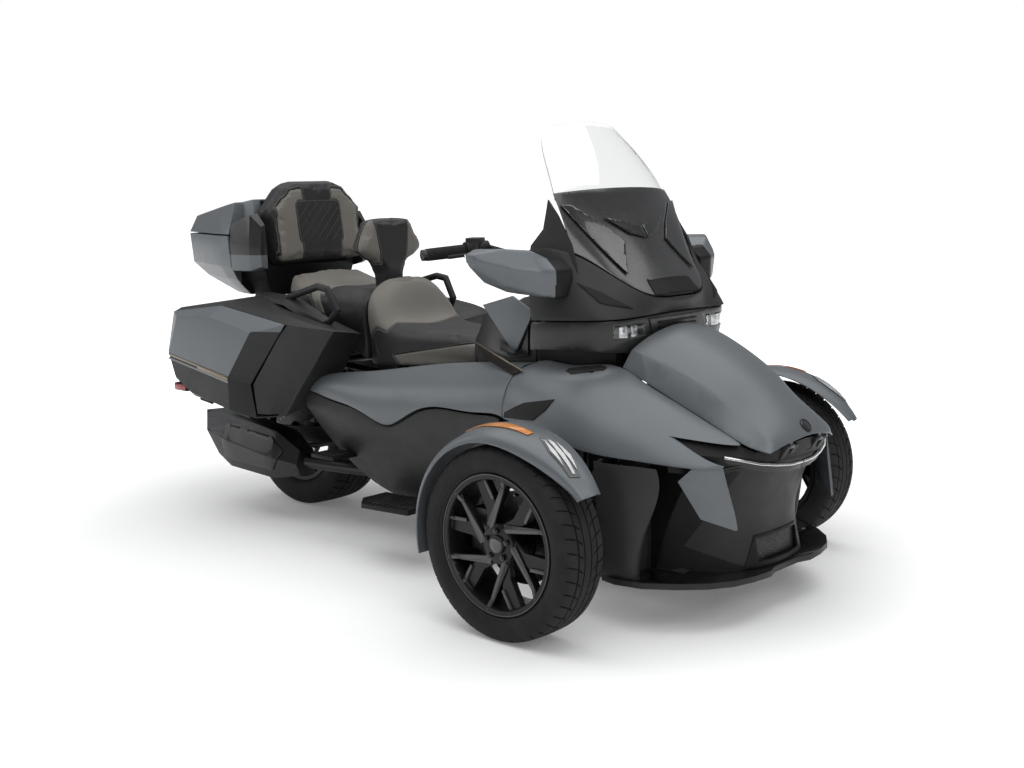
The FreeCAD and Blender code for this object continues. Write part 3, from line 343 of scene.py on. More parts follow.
def make_materials(looks):
    black = tuple(looks.black)
    charcoal = tuple(looks.charcoal)
    MATERIALS.update(
        body_paint=paint("body_paint", tuple(looks.paint)),
        charcoal_plastic=plastic("charcoal_plastic", charcoal, 0.5, 1100.0, 0.16, Specular_IOR_Level=0.3),
        black_plastic=plastic("black_plastic", black, 0.5, 900.0, 0.16, Specular_IOR_Level=0.2),
        satin_black=plastic("satin_black", shade(charcoal, 0.7), 0.34, 500.0, 0.04, Coat_Weight=0.15,
                            Coat_Roughness=0.2, Specular_IOR_Level=0.35),
        gloss_black=plastic("gloss_black", shade(black, 0.6), 0.16, 60.0, 0.015, Coat_Weight=1.0,
                            Coat_Roughness=0.04),
        screen_black=plastic("screen_black", shade(charcoal, 0.8), 0.3, 60.0, 0.01, Coat_Weight=0.7,
                             Coat_Roughness=0.14),
        frame_paint=plastic("frame_paint", black, 0.42, 420.0, 0.12, Specular_IOR_Level=0.3),
        cast_alloy=metal("cast_alloy", (0.16, 0.16, 0.165), 0.45, None, 300.0, 0.2),
        engine=plastic("engine", shade(charcoal, 0.8), 0.5, 300.0, 0.3, Metallic=0.6),
        steel=metal("steel", (0.42, 0.42, 0.43), 0.3, (1.0, 0.06, 1.0), 300.0, 0.05),
        dark_nuts=metal("dark_nuts", (0.07, 0.07, 0.072), 0.3, None, 200.0, 0.05),
        black_steel=metal("black_steel", (0.05, 0.05, 0.052), 0.34, (0.05, 1.0, 1.0), 260.0, 0.06),
        damper_steel=plastic("damper_steel", (0.05, 0.05, 0.052), 0.35, 200.0, 0.05, Metallic=0.7),
        wheel_black=plastic("wheel_black", tuple(looks.wheel), 0.34, 300.0, 0.03, Metallic=0.1,
                            Coat_Weight=0.12, Coat_Roughness=0.12, Specular_IOR_Level=0.25),
        # Lighter satin grey for the wheels' bars and rim ring, partly painted highlight where the bars catch
        # the light
        wheel_edge=plastic("wheel_edge", (0.085, 0.085, 0.087), 0.34, 300.0, 0.03, Metallic=0.6),
        tyre=rubber("tyre", tuple(looks.rubber)),
        lamp_glass=clear("lamp_glass", (0.97, 0.975, 0.98), 0.01),
        screen_glass=clear("screen_glass", (0.93, 0.94, 0.945), 0.015),
        red_lens=lens("red_lens", (0.36, 0.006, 0.008), 6.0, 1, Transmission_Weight=0.1, Coat_Weight=0.25),
        amber_lens=lens("amber_lens", (0.78, 0.27, 0.03), 5.0, 0, Transmission_Weight=0.1, Coat_Weight=0.6),
        white_lens=lens("white_lens", (0.78, 0.79, 0.8), 7.0, 1, Transmission_Weight=0.2, Coat_Weight=0.9),
        reflector=metal("reflector", (0.78, 0.79, 0.8), 0.12, None, 160.0, 0.1),
        mirror_glass=metal("mirror_glass", (0.8, 0.81, 0.82), 0.05, None, 8.0, 0.0),
        trim_silver=metal("trim_silver", (0.62, 0.62, 0.61), 0.24, (1.0, 0.1, 1.0), 260.0, 0.03),
        trim_bronze=metal("trim_bronze", (0.026, 0.023, 0.019), 0.4, (0.1, 1.0, 1.0), 260.0, 0.04),
        trim_champagne=metal("trim_champagne", (0.20, 0.175, 0.135), 0.33, (0.1, 1.0, 1.0), 260.0, 0.04),
        grille_mesh=mesh_weave("grille_mesh", black, 9.0),
        leather=leather("leather", tuple(looks.leather_dark), tuple(looks.leather_light)),
        leather_quilted=leather("leather_quilted", tuple(looks.leather_dark), tuple(looks.leather_light), True),
    )


# Meshes
def finish_mesh(name, bm, material, body, replaces=(), sharp=32.0):
    """Turns a bmesh into a piece that rides on a body."""
    bmesh.ops.recalc_face_normals(bm, faces=bm.faces)
    mesh = bpy.data.meshes.new(name)
    bm.to_mesh(mesh)
    bm.free()
    mesh.polygons.foreach_set("use_smooth", [True] * len(mesh.polygons))
    mesh.set_sharp_from_angle(angle=math.radians(sharp))
    names = (material,) if isinstance(material, str) else material
    for key in names:
        mesh.materials.append(MATERIALS[key])
    piece = bpy.data.objects.new(name, mesh)
    bpy.context.scene.collection.objects.link(piece)
    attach(piece, body)
    if replaces:
        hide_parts(*replaces)
    return piece


def node_mesh(node):
    """The CAD node's triangles as a merged bmesh."""
    bm = bmesh.new()
    bm.from_mesh(frame["nodes"][node].data)
    bmesh.ops.remove_doubles(bm, verts=bm.verts, dist=MERGE)
    return bm


def node_skin(node):
    """The CAD node's skin with its flat facets joined."""
    bm = node_mesh(node)
    bmesh.ops.dissolve_limit(bm, angle_limit=math.radians(FLAT), verts=bm.verts, edges=bm.edges)
    return bm


def round_edges(bm, width, angle=30.0, segments=2):
    """Bevels the edges that are sharper than an angle."""
    limit = math.radians(angle)
    edges = [e for e in bm.edges if len(e.link_faces) == 2 and e.calc_face_angle(0.0) > limit]
    if edges and width > 0:
        bmesh.ops.bevel(bm, geom=edges, offset=mm(width), offset_type="OFFSET", segments=segments, profile=0.5,
                        affect="EDGES", clamp_overlap=True, material=-1)


def divide(bm, splits):
    """Divides faces along planes, each a point and a normal, so that repaint finds a clean line."""
    for spot, normal in splits:
        bmesh.ops.bisect_plane(bm, geom=bm.verts[:] + bm.edges[:] + bm.faces[:], plane_co=at(spot),
                               plane_no=Vector(normal).normalized(), dist=TOUCH)


def dressed(node, material, width=1.2, angle=30.0, segments=2, splits=()):
    """A CAD node's skin with rounded edges and a real finish, in place of the node."""
    bm = node_skin(node)
    round_edges(bm, width, angle, segments)
    divide(bm, splits)
    return finish_mesh(f"{node}_skin", bm, material, BODY_OF[node], (node,))


def smoothed(bm, name, voxel, rounds):
    """The shape of a bmesh as a new object, remeshed to a grid in metres and softened."""
    mesh = bpy.data.meshes.new(name)
    bm.to_mesh(mesh)
    bm.free()
    piece = bpy.data.objects.new(name, mesh)
    bpy.context.scene.collection.objects.link(piece)
    remesh = piece.modifiers.new("remesh", "REMESH")
    remesh.mode = "VOXEL"
    remesh.voxel_size = voxel
    soften = piece.modifiers.new("soften", "SMOOTH")
    soften.factor = 0.5
    soften.iterations = rounds
    apply_modifiers(piece)
    return piece


def moulded(node, material, voxel, rounds, splits):
    """A CAD node's shape drawn as one smooth moulding, in place of the node."""
    form = smoothed(node_mesh(node), f"{node}_form", mm(voxel), rounds)
    bm = bmesh.new()
    bm.from_mesh(form.data)
    bpy.data.objects.remove(form)
    divide(bm, splits)
    return finish_mesh(f"{node}_skin", bm, material, BODY_OF[node], (node,), sharp=80.0)


def repaint(piece, index, chosen):
    """Gives the faces whose centre and normal pass a test another of the piece's materials."""
    for polygon in piece.data.polygons:
        if chosen(polygon.center * 1000.0, polygon.normal):
            polygon.material_index = index


def clad(nodes, material):
    """Gives CAD nodes that stay as they are a real finish."""
    for node in nodes:
        data = frame["nodes"][node].data
        if not data.materials:
            data.materials.append(MATERIALS[material])
        for index in range(len(data.materials)):
            data.materials[index] = MATERIALS[material]


def box_bm(bm, low, high, turn=None):
    """Adds a box between two corners, in millimetres."""
    low, high = at(low), at(high)
    middle, size = (low + high) / 2, high - low
    matrix = Matrix.Translation(middle) @ (turn or Matrix.Identity(4)) @ Matrix.Diagonal((*size, 1.0))
    return bmesh.ops.create_cube(bm, size=1.0, matrix=matrix)["verts"]


def drum_bm(bm, centre, axis, radius, depth, sides=32, tip=None):
    """Adds a cylinder about a centre, along an axis, in millimetres."""
    turn = Vector((0, 0, 1)).rotation_difference(Vector(axis)).to_matrix().to_4x4()
    return bmesh.ops.create_cone(bm, cap_ends=True, cap_tris=False, segments=sides, radius1=mm(radius),
                                 radius2=mm(radius if tip is None else tip), depth=mm(depth),
                                 matrix=Matrix.Translation(at(centre)) @ turn)["verts"]


def slab_bm(bm, outline, along):
    """Adds a flat outline of points in millimetres, swept along a vector."""
    start = [bm.verts.new(at(p)) for p in outline]
    end = [bm.verts.new(at(Vector(p) + Vector(along))) for p in outline]
    faces = [bm.faces.new(start), bm.faces.new(end[::-1])]
    for i in range(len(start)):
        j = (i + 1) % len(start)
        faces.append(bm.faces.new([start[j], start[i], end[i], end[j]]))
    bmesh.ops.recalc_face_normals(bm, faces=faces)
    return faces


def spun_bm(bm, profile, centre, axis=(0, 1, 0), steps=64):
    """Spins a closed profile of (offset along the axis, radius) points round an axis."""
    centre, axis = at(centre), Vector(axis).normalized()
    out = axis.orthogonal().normalized()
    verts = [bm.verts.new(centre + axis * mm(a) + out * mm(r)) for a, r in profile]
    edges = [bm.edges.new((verts[i], verts[(i + 1) % len(verts)])) for i in range(len(verts))]
    bmesh.ops.spin(bm, geom=verts + edges, cent=centre, axis=axis, angle=2 * math.pi, steps=steps,
                   use_merge=True, use_duplicate=False)


def add_tube(bm, points, radius, sides):
    """Adds a round bar through points in millimetres."""
    data = bpy.data.curves.new("path", "CURVE")
    data.dimensions = "3D"
    data.bevel_depth = mm(radius)
    data.bevel_resolution = sides
    data.use_fill_caps = True
    spline = data.splines.new("POLY")
    spline.points.add(len(points) - 1)
    for spot, point in zip(spline.points, points):
        spot.co = (*(at(point)), 1.0)
    carrier = bpy.data.objects.new("path", data)
    bpy.context.scene.collection.objects.link(carrier)
    bpy.context.view_layer.update()
    mesh = bpy.data.meshes.new_from_object(carrier.evaluated_get(bpy.context.evaluated_depsgraph_get()))
    bm.from_mesh(mesh)
    for store, made in ((bpy.data.objects, carrier), (bpy.data.curves, data), (bpy.data.meshes, mesh)):
        store.remove(made)
    bmesh.ops.remove_doubles(bm, verts=bm.verts, dist=TOUCH)


def patch_bm(node, outline, along, lift, thick):
    """The part of a node's skin inside a convex outline seen along a direction, lifted and thickened."""
    bm = node_skin(node)
    way = Vector(along).normalized()
    spots = [at(p) for p in outline]
    middle = sum(spots, Vector()) / len(spots)
    for i, spot in enumerate(spots):
        side = (spots[(i + 1) % len(spots)] - spot).cross(way).normalized()
        if side.dot(middle - spot) > 0:
            side.negate()
        bmesh.ops.bisect_plane(bm, geom=bm.verts[:] + bm.edges[:] + bm.faces[:], plane_co=spot, plane_no=side,
                               clear_outer=True)
    bm.normal_update()
    away = [f for f in bm.faces if -f.normal.dot(way) < GRAZING]
    bmesh.ops.delete(bm, geom=away, context="FACES")
    if not bm.faces:
        raise RuntimeError(f"no skin of {node} lies inside the outline")
    depth = min(f.calc_center_median().dot(way) for f in bm.faces)
    hidden = [f for f in bm.faces if f.calc_center_median().dot(way) > depth + mm(PATCH_DEPTH)]
    bmesh.ops.delete(bm, geom=hidden, context="FACES")
    bmesh.ops.triangulate(bm, faces=bm.faces)
    bmesh.ops.subdivide_edges(bm, edges=bm.edges, cuts=1, use_grid_fill=True)
    bm.normal_update()
    for vert in bm.verts:
        vert.co += vert.normal * mm(lift)
    bmesh.ops.solidify(bm, geom=bm.faces, thickness=-mm(thick))
    return bm


def ribbon_bm(bm, points, across, thick):
    """Adds a strip along points in millimetres, as wide as the vector across."""
    verts = [bm.verts.new(at(p)) for p in points]
    edges = [bm.edges.new(pair) for pair in zip(verts, verts[1:])]
    made = bmesh.ops.extrude_edge_only(bm, edges=edges)["geom"]
    bmesh.ops.translate(bm, verts=[v for v in made if isinstance(v, bmesh.types.BMVert)],
                        vec=at(across))
    faces = [f for f in made if isinstance(f, bmesh.types.BMFace)]
    bmesh.ops.recalc_face_normals(bm, faces=faces)
    bmesh.ops.solidify(bm, geom=faces, thickness=mm(thick))


def sheet_bm(bm, rows, thick):
    """Adds a sheet through rows of points in millimetres, of equal length, and gives it a thickness."""
    across = len(rows[0])
    grid = bmesh.ops.create_grid(bm, x_segments=across - 1, y_segments=len(rows) - 1, size=1.0)["verts"]
    for vert, spot in zip(grid, [p for row in rows for p in row]):
        vert.co = at(spot)
    faces = list({f for v in grid for f in v.link_faces})
    bmesh.ops.recalc_face_normals(bm, faces=faces)
    bmesh.ops.solidify(bm, geom=faces, thickness=mm(thick))


SKINS = {}


def on_skin(node, point, lift=0.0):
    """The spot of a node's skin nearest to a point, in millimetres and lifted, with its normal."""
    if node not in SKINS:
        mesh = frame["nodes"][node].data
        SKINS[node] = BVHTree.FromPolygons([v.co.copy() for v in mesh.vertices],
                                           [tuple(p.vertices) for p in mesh.polygons])
    spot, normal, _, _ = SKINS[node].find_nearest(at(point))
    return spot * 1000.0 + normal * lift, normal


def patches(name, node, outlines, along, material, body, lift, thick, edge=0.4):
    """Thin panels that follow a node's skin inside outlines seen along directions."""
    ways = along if isinstance(along, list) else [along] * len(outlines)
    bm = bmesh.new()
    for outline, way in zip(outlines, ways):
        part = patch_bm(node, outline, way, lift, thick)
        mesh = bpy.data.meshes.new("patch")
        part.to_mesh(mesh)
        part.free()
        bm.from_mesh(mesh)
        bpy.data.meshes.remove(mesh)
    round_edges(bm, edge, 50.0, 1)
    finish_mesh(name, bm, material, body)


def sided(points, side):
    """Points drawn on the left, put on the side that is 1 for the left and -1 for the right."""
    return [(x, side * y, z) for x, y, z in points]


def mirrored(points):
    """The same points on the other side."""
    return sided(points, -1)


def whole(half):
    """Rows from the middle to the left, with their images on the right."""
    return [mirrored(row) for row in reversed(half[1:])] + list(half)


# Settings
class TrikeLooks(bpy.types.PropertyGroup):
    """Base colours, linear."""

    paint: FloatVectorProperty(name="Paint", description="Satin body colour", subtype="COLOR",
                               default=(0.130, 0.142, 0.151))
    charcoal: FloatVectorProperty(name="Charcoal", description="Textured plastic", subtype="COLOR",
                                  default=(0.022, 0.022, 0.0225))
    black: FloatVectorProperty(name="Black", description="Black plastic", subtype="COLOR",
                               default=(0.008, 0.008, 0.0083))
    wheel: FloatVectorProperty(name="Wheel", description="Wheel finish", subtype="COLOR",
                               default=(0.007, 0.007, 0.0073))
    rubber: FloatVectorProperty(name="Rubber", description="Tyre rubber", subtype="COLOR",
                                default=(0.014, 0.014, 0.0145))
    leather_dark: FloatVectorProperty(name="Dark leather", description="Seat black", subtype="COLOR",
                                      default=(0.014, 0.014, 0.0145))
    leather_light: FloatVectorProperty(name="Grey leather", description="Seat grey", subtype="COLOR",
                                       default=(0.155, 0.145, 0.128))


class TrikeSizes(bpy.types.PropertyGroup):
    """Sizes that the pieces are worked out from."""

    edge: FloatProperty(name="Panel edge", description="Rounding of panel edges", default=0.0014, unit="LENGTH")
    groove: FloatProperty(name="Groove", description="Depth of the tread grooves", default=0.0065,
                          unit="LENGTH")
    pitches: IntProperty(name="Pitches", description="Repeats of the tread round a tyre", default=44, min=20)
    swell: FloatProperty(name="Swell", description="Most that a pad swells", default=0.009, unit="LENGTH")
    voxel: FloatProperty(name="Voxel", description="Grid of the padded pieces", default=0.0065, unit="LENGTH")


class TrikeStage(bpy.types.PropertyGroup):
    """Camera and lights."""

    camera: FloatVectorProperty(name="Camera", description="Where the camera stands", subtype="XYZ",
                                default=(3.3465, -3.3648, 1.2986), unit="LENGTH")
    right: FloatVectorProperty(name="Right", description="The picture's right", subtype="XYZ",
                               default=(0.73653, 0.67623, -0.01533))
    up: FloatVectorProperty(name="Up", description="The picture's top", subtype="XYZ",
                            default=(-0.09365, 0.12439, 0.98780))
    lens: FloatProperty(name="Lens", description="Focal length on a 36 mm sensor", default=46.746)
    top_power: FloatProperty(name="Top light", description="Overhead soft box", default=330.0, unit="POWER")
    side_power: FloatProperty(name="Side light", description="Soft box beside the camera", default=45.0,
                              unit="POWER")


# Running gear
def tread_columns(half, radius, groove, bead, lip):
    """Half a tyre's section from the middle out: (offset, radius, slot share, skew in pitches)."""
    side = radius - bead
    low = bead + 6.5
    rows = [(0.0, 0.0, 0, 0.0), (0.14, 0.1, 0, 0.0), (0.152, groove, 0, 0.0), (0.188, groove, 0, 0.0),
            (0.20, 0.2, 0, 0.0), (0.26, 0.3, 0, 0.0), (0.272, 0.3, 1, 0.03), (0.43, 0.8, 1, 0.28),
            (0.442, groove + 0.5, 0, 0.3), (0.488, groove + 0.6, 0, 0.34), (0.50, 1.0, 1, 0.36),
            (0.63, 1.7, 1, 0.46), (0.76, 3.4, 1, 0.55), (0.84, 6.6, 0.9, 0.60), (0.895, 11.5, 0.35, 0.63),
            (0.935, 18.0, 0, 0.65), (0.958, 25.0, 0, 0.66)]
    section = [(f * half, radius - drop, share, skew) for f, drop, share, skew in rows]
    wall = [(0.985, low + side * 0.58), (0.992, low + side * 0.53), (1.0, low + side * 0.50),
            (1.0, low + side * 0.40), (0.975, low + side * 0.28), (0.93, lip + 13), (0.905, lip + 12.2),
            (0.89, lip + 8.5), (0.84, lip + 4.5), (0.78, lip + 2.5), (0.76, lip - 4), (0.74, low)]
    return section + [(f * half, r, 0, 0.66) for f, r in wall]


# One pitch of the tread: share of the pitch and whether a slot is cut there
TREAD_CUTS = ((0.0, 0), (0.022, 1), (0.105, 1), (0.127, 0), (0.40, 0), (0.70, 0))
SLOT_DEPTH = 0.9


def tyre_piece(name, node, centre, radius, width, sizes):
    """A tyre with grooves, sipes and shoulder slots cut in its tread."""
    groove = sizes.groove * 1000.0
    half = tread_columns(width / 2, radius, groove, BEAD_RADIUS, LIP_RADIUS)
    columns = [(-y, r, share, skew) for y, r, share, skew in reversed(half[1:])] + half
    pitch = 2 * math.pi / sizes.pitches
    bm = bmesh.new()
    middle = at(centre)
    rings = []
    for step in range(sizes.pitches):
        for share, cut in TREAD_CUTS:
            ring = []
            for y, r, slot_share, skew in columns:
                angle = pitch * (step + share + skew)
                depth = slot_share * groove * SLOT_DEPTH if cut else 0.0
                reach = mm(r - depth)
                turned = Vector((reach * math.cos(angle), mm(y), reach * math.sin(angle)))
                ring.append(bm.verts.new(middle + turned))
            rings.append(ring)
    for i, ring in enumerate(rings):
        following = rings[(i + 1) % len(rings)]
        for j in range(len(columns)):
            k = (j + 1) % len(columns)
            bm.faces.new((ring[j], ring[k], following[k], following[j]))
    finish_mesh(name, bm, "tyre", BODY_OF[node], (node,), sharp=38.0)


class TRIKE_OT_tyres(bpy.types.Operator):
    """Cut the treads of the three tyres"""

    bl_idname = "trike.tyres"
    bl_label = "Tyres"

    def execute(self, context):
        sizes = context.scene.trike_sizes
        for node, wheel, radius, width in (("tyre_left", "left", FRONT_RADIUS, FRONT_WIDTH),
                                           ("tyre_right", "right", FRONT_RADIUS, FRONT_WIDTH),
                                           ("rear_tyre", "rear", REAR_RADIUS, REAR_WIDTH)):
            tyre_piece(f"{node}_tread", node, WHEELS[wheel], radius, width, sizes)
        return {"FINISHED"}


# Wheel nuts, valve and spokes: numbers, circles in millimetres and angles in degrees
STUDS, STUD_CIRCLE = 5, 41.0
VALVE_CIRCLE, VALVE_ANGLE = 172, 64
SPOKES, SPOKE_START = 6, 20
# Bars of a spoke: inner and outer ends as (radius, degrees from the spoke's start), and half the width
BARS = (((46, 44), (195, 0), 6.0), ((131, 17), (195, 25), 4.2))
BAR_BEND = 0.82
FRONT_DISC, REAR_DISC = 655.0, -101.0
DISC_HOLES = 36


def hub_details(name, centre, outward, face, body):
    """Wheel nuts, centre cap and valve on a wheel's outer face."""
    x, y, z = centre
    bm = bmesh.new()
    for k in range(STUDS):
        angle = math.radians(90 + 360 / STUDS * k)
        spot = (x + STUD_CIRCLE * math.cos(angle), y + outward * (face + 3), z + STUD_CIRCLE * math.sin(angle))
        drum_bm(bm, spot, (0, 1, 0), 9.0, 12.0, 6)
        drum_bm(bm, (spot[0], spot[1] + outward * 6.0, spot[2]), (0, 1, 0), 5.5, 6.0, 12)
    valve = math.radians(VALVE_ANGLE)
    tip = (x + VALVE_CIRCLE * math.cos(valve), y + outward * (face - 6), z + VALVE_CIRCLE * math.sin(valve))
    drum_bm(bm, tip, (0, 1, 0), 4.0, 30.0, 10)
    round_edges(bm, 0.7)
    finish_mesh(f"{name}_nuts", bm, "dark_nuts", body)
    bm = bmesh.new()
    cap = ((-4, 0.5), (9, 0.5), (9, 17), (7, 23), (1, 26.5), (-4, 27))
    spun_bm(bm, [(outward * (face + rise), reach) for rise, reach in cap], centre, steps=48)
    finish_mesh(f"{name}_cap", bm, "gloss_black", body)


def wheel_bars(name, centre, outward, face, body):
    """Satin covers on the long and short bars of the spokes, and a thin ring round the rim, in a lighter grey
    that is partly painted highlight.
    """
    x, y, z = centre
    bm = bmesh.new()

    def spot(radius, degrees):
        angle = math.radians(degrees)
        return Vector((x + radius * math.cos(angle), 0, z + radius * math.sin(angle)))

    for k in range(SPOKES):
        base = SPOKE_START + 360 // SPOKES * k
        for start, end, half in BARS:
            a, b = spot(start[0], base + start[1]), spot(end[0], base + end[1])
            aside = (b - a).cross(Vector((0, 1, 0))).normalized() * half
            low, mid, high = [Vector((0, y + outward * (face + rise), 0)) for rise in (-4.6, -3.4, 8.9)]
            bend = a.lerp(b, BAR_BEND)
            slab_bm(bm, [a + aside + low, bend + aside + mid, bend - aside + mid, a - aside + low],
                    (0, outward * -7, 0))
            slab_bm(bm, [bend + aside + mid, b + aside + high, b - aside + high, bend - aside + mid],
                    (0, outward * -7, 0))
    round_edges(bm, 1.0)
    ring = ((6, 198.6), (9.4, 199.4), (9.4, 202), (6, 203.6))
    spun_bm(bm, [(outward * (face + rise), reach) for rise, reach in ring], centre, steps=96)
    finish_mesh(f"{name}_bars", bm, "wheel_edge", body)


def on_bars(centre, outward, threshold):
    """Test for the raised faces of a wheel's bars."""
    x, y, z = centre

    def chosen(spot, normal):
        reach = math.hypot(spot.x - x, spot.z - z)
        proud = (spot.y - y) * outward
        return 60 < reach < 186 and proud > threshold and abs(normal.y) > 0.3

    return chosen


class TRIKE_OT_wheels(bpy.types.Operator):
    """Finish the three wheels with bars, nuts, caps, discs and valves"""

    bl_idname = "trike.wheels"
    bl_label = "Wheels"

    def execute(self, context):
        front_face, rear_face = FRONT_WIDTH * 0.38, REAR_WIDTH * 0.38
        settings = (("wheel_left", "left", 1, front_face, front_face - 4, FRONT_DISC),
                    ("wheel_right", "right", -1, front_face, front_face - 4, -FRONT_DISC),
                    ("rear_wheel", "rear", 1, rear_face, 60.0, REAR_DISC))
        for node, key, outward, face, hub_face, disc in settings:
            centre = WHEELS[key]
            piece = dressed(node, ("wheel_black", "wheel_edge", "steel"), 0.9, segments=1)
            # The bars' raised faces take the lighter grey, partly painted highlight
            repaint(piece, 1, on_bars(centre, outward, face - 8))
            wheel_bars(node, centre, outward, face, BODY_OF[node])
            hub_details(node, centre, outward, hub_face, BODY_OF[node])
            repaint(piece, 2, lambda spot, normal: abs(spot.y - disc) < 4.5
                    and 64 < math.hypot(spot.x - centre[0], spot.z - centre[2]) < 140)
            bm = bmesh.new()
            for k in range(DISC_HOLES):
                angle = 2 * math.pi * k / DISC_HOLES
                reach = 90 + 13 * (k % 3)
                hole = (centre[0] + reach * math.cos(angle), disc, centre[2] + reach * math.sin(angle))
                drum_bm(bm, hole, (0, 1, 0), 3.4, 7.0, 12)
            finish_mesh(f"{node}_disc_holes", bm, "gloss_black", BODY_OF[node])
        return {"FINISHED"}


TURN_POINTS = 12


def spring_points(low, high, radius, turns):
    """Points of a coil from low to high."""
    axis = (high - low).normalized()
    u = axis.orthogonal().normalized()
    v = axis.cross(u)
    count = turns * TURN_POINTS
    angles = [2 * math.pi * i / TURN_POINTS for i in range(count + 1)]
    return [low.lerp(high, i / count) + radius * (math.cos(angle) * u + math.sin(angle) * v)
            for i, angle in enumerate(angles)]


# A front spring's top and foot: in from the dampers' box lengthwise and in height, and from the middle
SPRING_TOP, SPRING_FOOT = (-26, 276, -34), (26, 430, 70)


class TRIKE_OT_running_gear(bpy.types.Operator):
    """Finish the frame, swing arm, front arms, knuckles, dampers, springs and tie rods"""

    bl_idname = "trike.running_gear"
    bl_label = "Running gear"

    def execute(self, context):
        clad(("engine_block",), "engine")
        dressed("frame", "frame_paint", 0.0)
        dressed("swing_arm", "frame_paint", 1.2)
        dressed("front_arms", "frame_paint", 0.0)
        dressed("front_dampers", "damper_steel", 0.0)
        dressed("tie_rods", "steel", 0.6)
        for side in ("left", "right"):
            dressed(f"knuckle_{side}", "cast_alloy", 1.5)
        low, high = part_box("front_dampers")
        bm = bmesh.new()
        for side in SIDES:
            top = Vector((high.x * 1000 + SPRING_TOP[0], side * SPRING_TOP[1], high.z * 1000 + SPRING_TOP[2]))
            foot = Vector((low.x * 1000 + SPRING_FOOT[0], side * SPRING_FOOT[1], low.z * 1000 + SPRING_FOOT[2]))
            add_tube(bm, spring_points(foot, top, 30, 7), 5.5, 3)
        finish_mesh("front_springs", bm, "black_steel", "chassis")
        return {"FINISHED"}


# Sprockets as (x, z, radius of the belt round them), the belt's inner side and width, and its thickness
REAR_SPROCKET, FRONT_SPROCKET = (-842.0, 303.0, 112.0), (-400.0, 318.0, 46.0)
BELT_SIDE, BELT_WIDTH, BELT_THICK = 103, 24, 4
WRAP_STEPS = 24


class TRIKE_OT_belt(bpy.types.Operator):
    """Run the drive belt from the engine to the rear sprocket"""

    bl_idname = "trike.belt"
    bl_label = "Belt"

    def execute(self, context):
        bm = bmesh.new()
        rear, front = REAR_SPROCKET, FRONT_SPROCKET
        points = []
        reach = math.hypot(front[0] - rear[0], front[1] - rear[1])
        tilt = math.atan2(front[1] - rear[1], front[0] - rear[0])
        wrap = math.acos((rear[2] - front[2]) / reach)
        for (cx, cz, radius), start, end in ((rear, tilt + wrap, tilt + 2 * math.pi - wrap),
                                             (front, tilt - wrap, tilt + wrap)):
            for i in range(WRAP_STEPS + 1):
                a = start + (end - start) * i / WRAP_STEPS
                points.append((cx + radius * math.cos(a), cz + radius * math.sin(a)))
        outer = [bm.verts.new(at((x, BELT_SIDE, z))) for x, z in points]
        for i in range(len(outer)):
            bm.edges.new((outer[i], outer[(i + 1) % len(outer)]))
        made = bmesh.ops.extrude_edge_only(bm, edges=bm.edges[:])
        across = [v for v in made["geom"] if isinstance(v, bmesh.types.BMVert)]
        bmesh.ops.translate(bm, verts=across, vec=(0, mm(BELT_WIDTH), 0))
        bmesh.ops.recalc_face_normals(bm, faces=bm.faces)
        bmesh.ops.solidify(bm, geom=bm.faces[:], thickness=mm(BELT_THICK))
        finish_mesh("drive_belt", bm, "tyre", "chassis")
        bm = bmesh.new()
        drum_bm(bm, (front[0], BELT_SIDE + BELT_WIDTH / 2, front[1]), (0, 1, 0), 44.0, 30.0, 32)
        round_edges(bm, 1.5)
        finish_mesh("front_sprocket", bm, "steel", "chassis")
        return {"FINISHED"}


# Body
PAINTED = ("hood", "shoulder_panels", "accent_panels", "fender_left", "fender_right", "top_case_lid",
           "side_case_lid_left", "side_case_lid_right")
CHARCOAL = ("lower_panels", "front_fairing", "side_cases", "console", "grab_handles")
BLACK = ("front_trunk", "rear_fender", "footboards", "dash")
# Where the top case turns black: behind its front, inside its shoulders and above its base
POD_FRONT, POD_SIDE, POD_BASE = -985, 240, 1012
MIRROR_ROOT, MIRROR_SOCKET = 389, 402
# The trim line of the side cases' lids, and the normals of the planes that part their colours
TRIM_REAR, TRIM_FRONT = (-1068.0, 0.0, 645.0), (-690.0, 0.0, 585.0)
TRIM_BELOW, TRIM_AHEAD = (60, 0, 378), (138, 0, -116)
TRIM_TOP = 762
LID_SIDE = 526
# Rows of points down the left side case's front
CASE_FRONT = (((-402, 466, 790), (-322, 440, 781), (-243, 404, 771)),
              ((-446, 469, 748), (-350, 447, 744), (-262, 403, 738)),
              ((-483, 470, 705), (-378, 450, 703), (-290, 402, 702)),
              ((-562, 470, 614), (-448, 450, 616), (-362, 398, 622)),
              ((-612, 470, 557), (-500, 448, 557), (-420, 396, 558)),
              ((-604, 470, 500), (-515, 448, 504), (-468, 402, 508)),
              ((-594, 470, 450), (-550, 452, 449), (-528, 415, 449)))
# Planes on the left of the prow past which it is black, as a point and a normal
PROW_TURN = ((1216, 246, 306), (-64.2, 55.2, 56.4))
PROW_CHIN = ((1162, 268, 223), (-42.0, 42.0, -169.4))
SPLITTER_TOP = 150


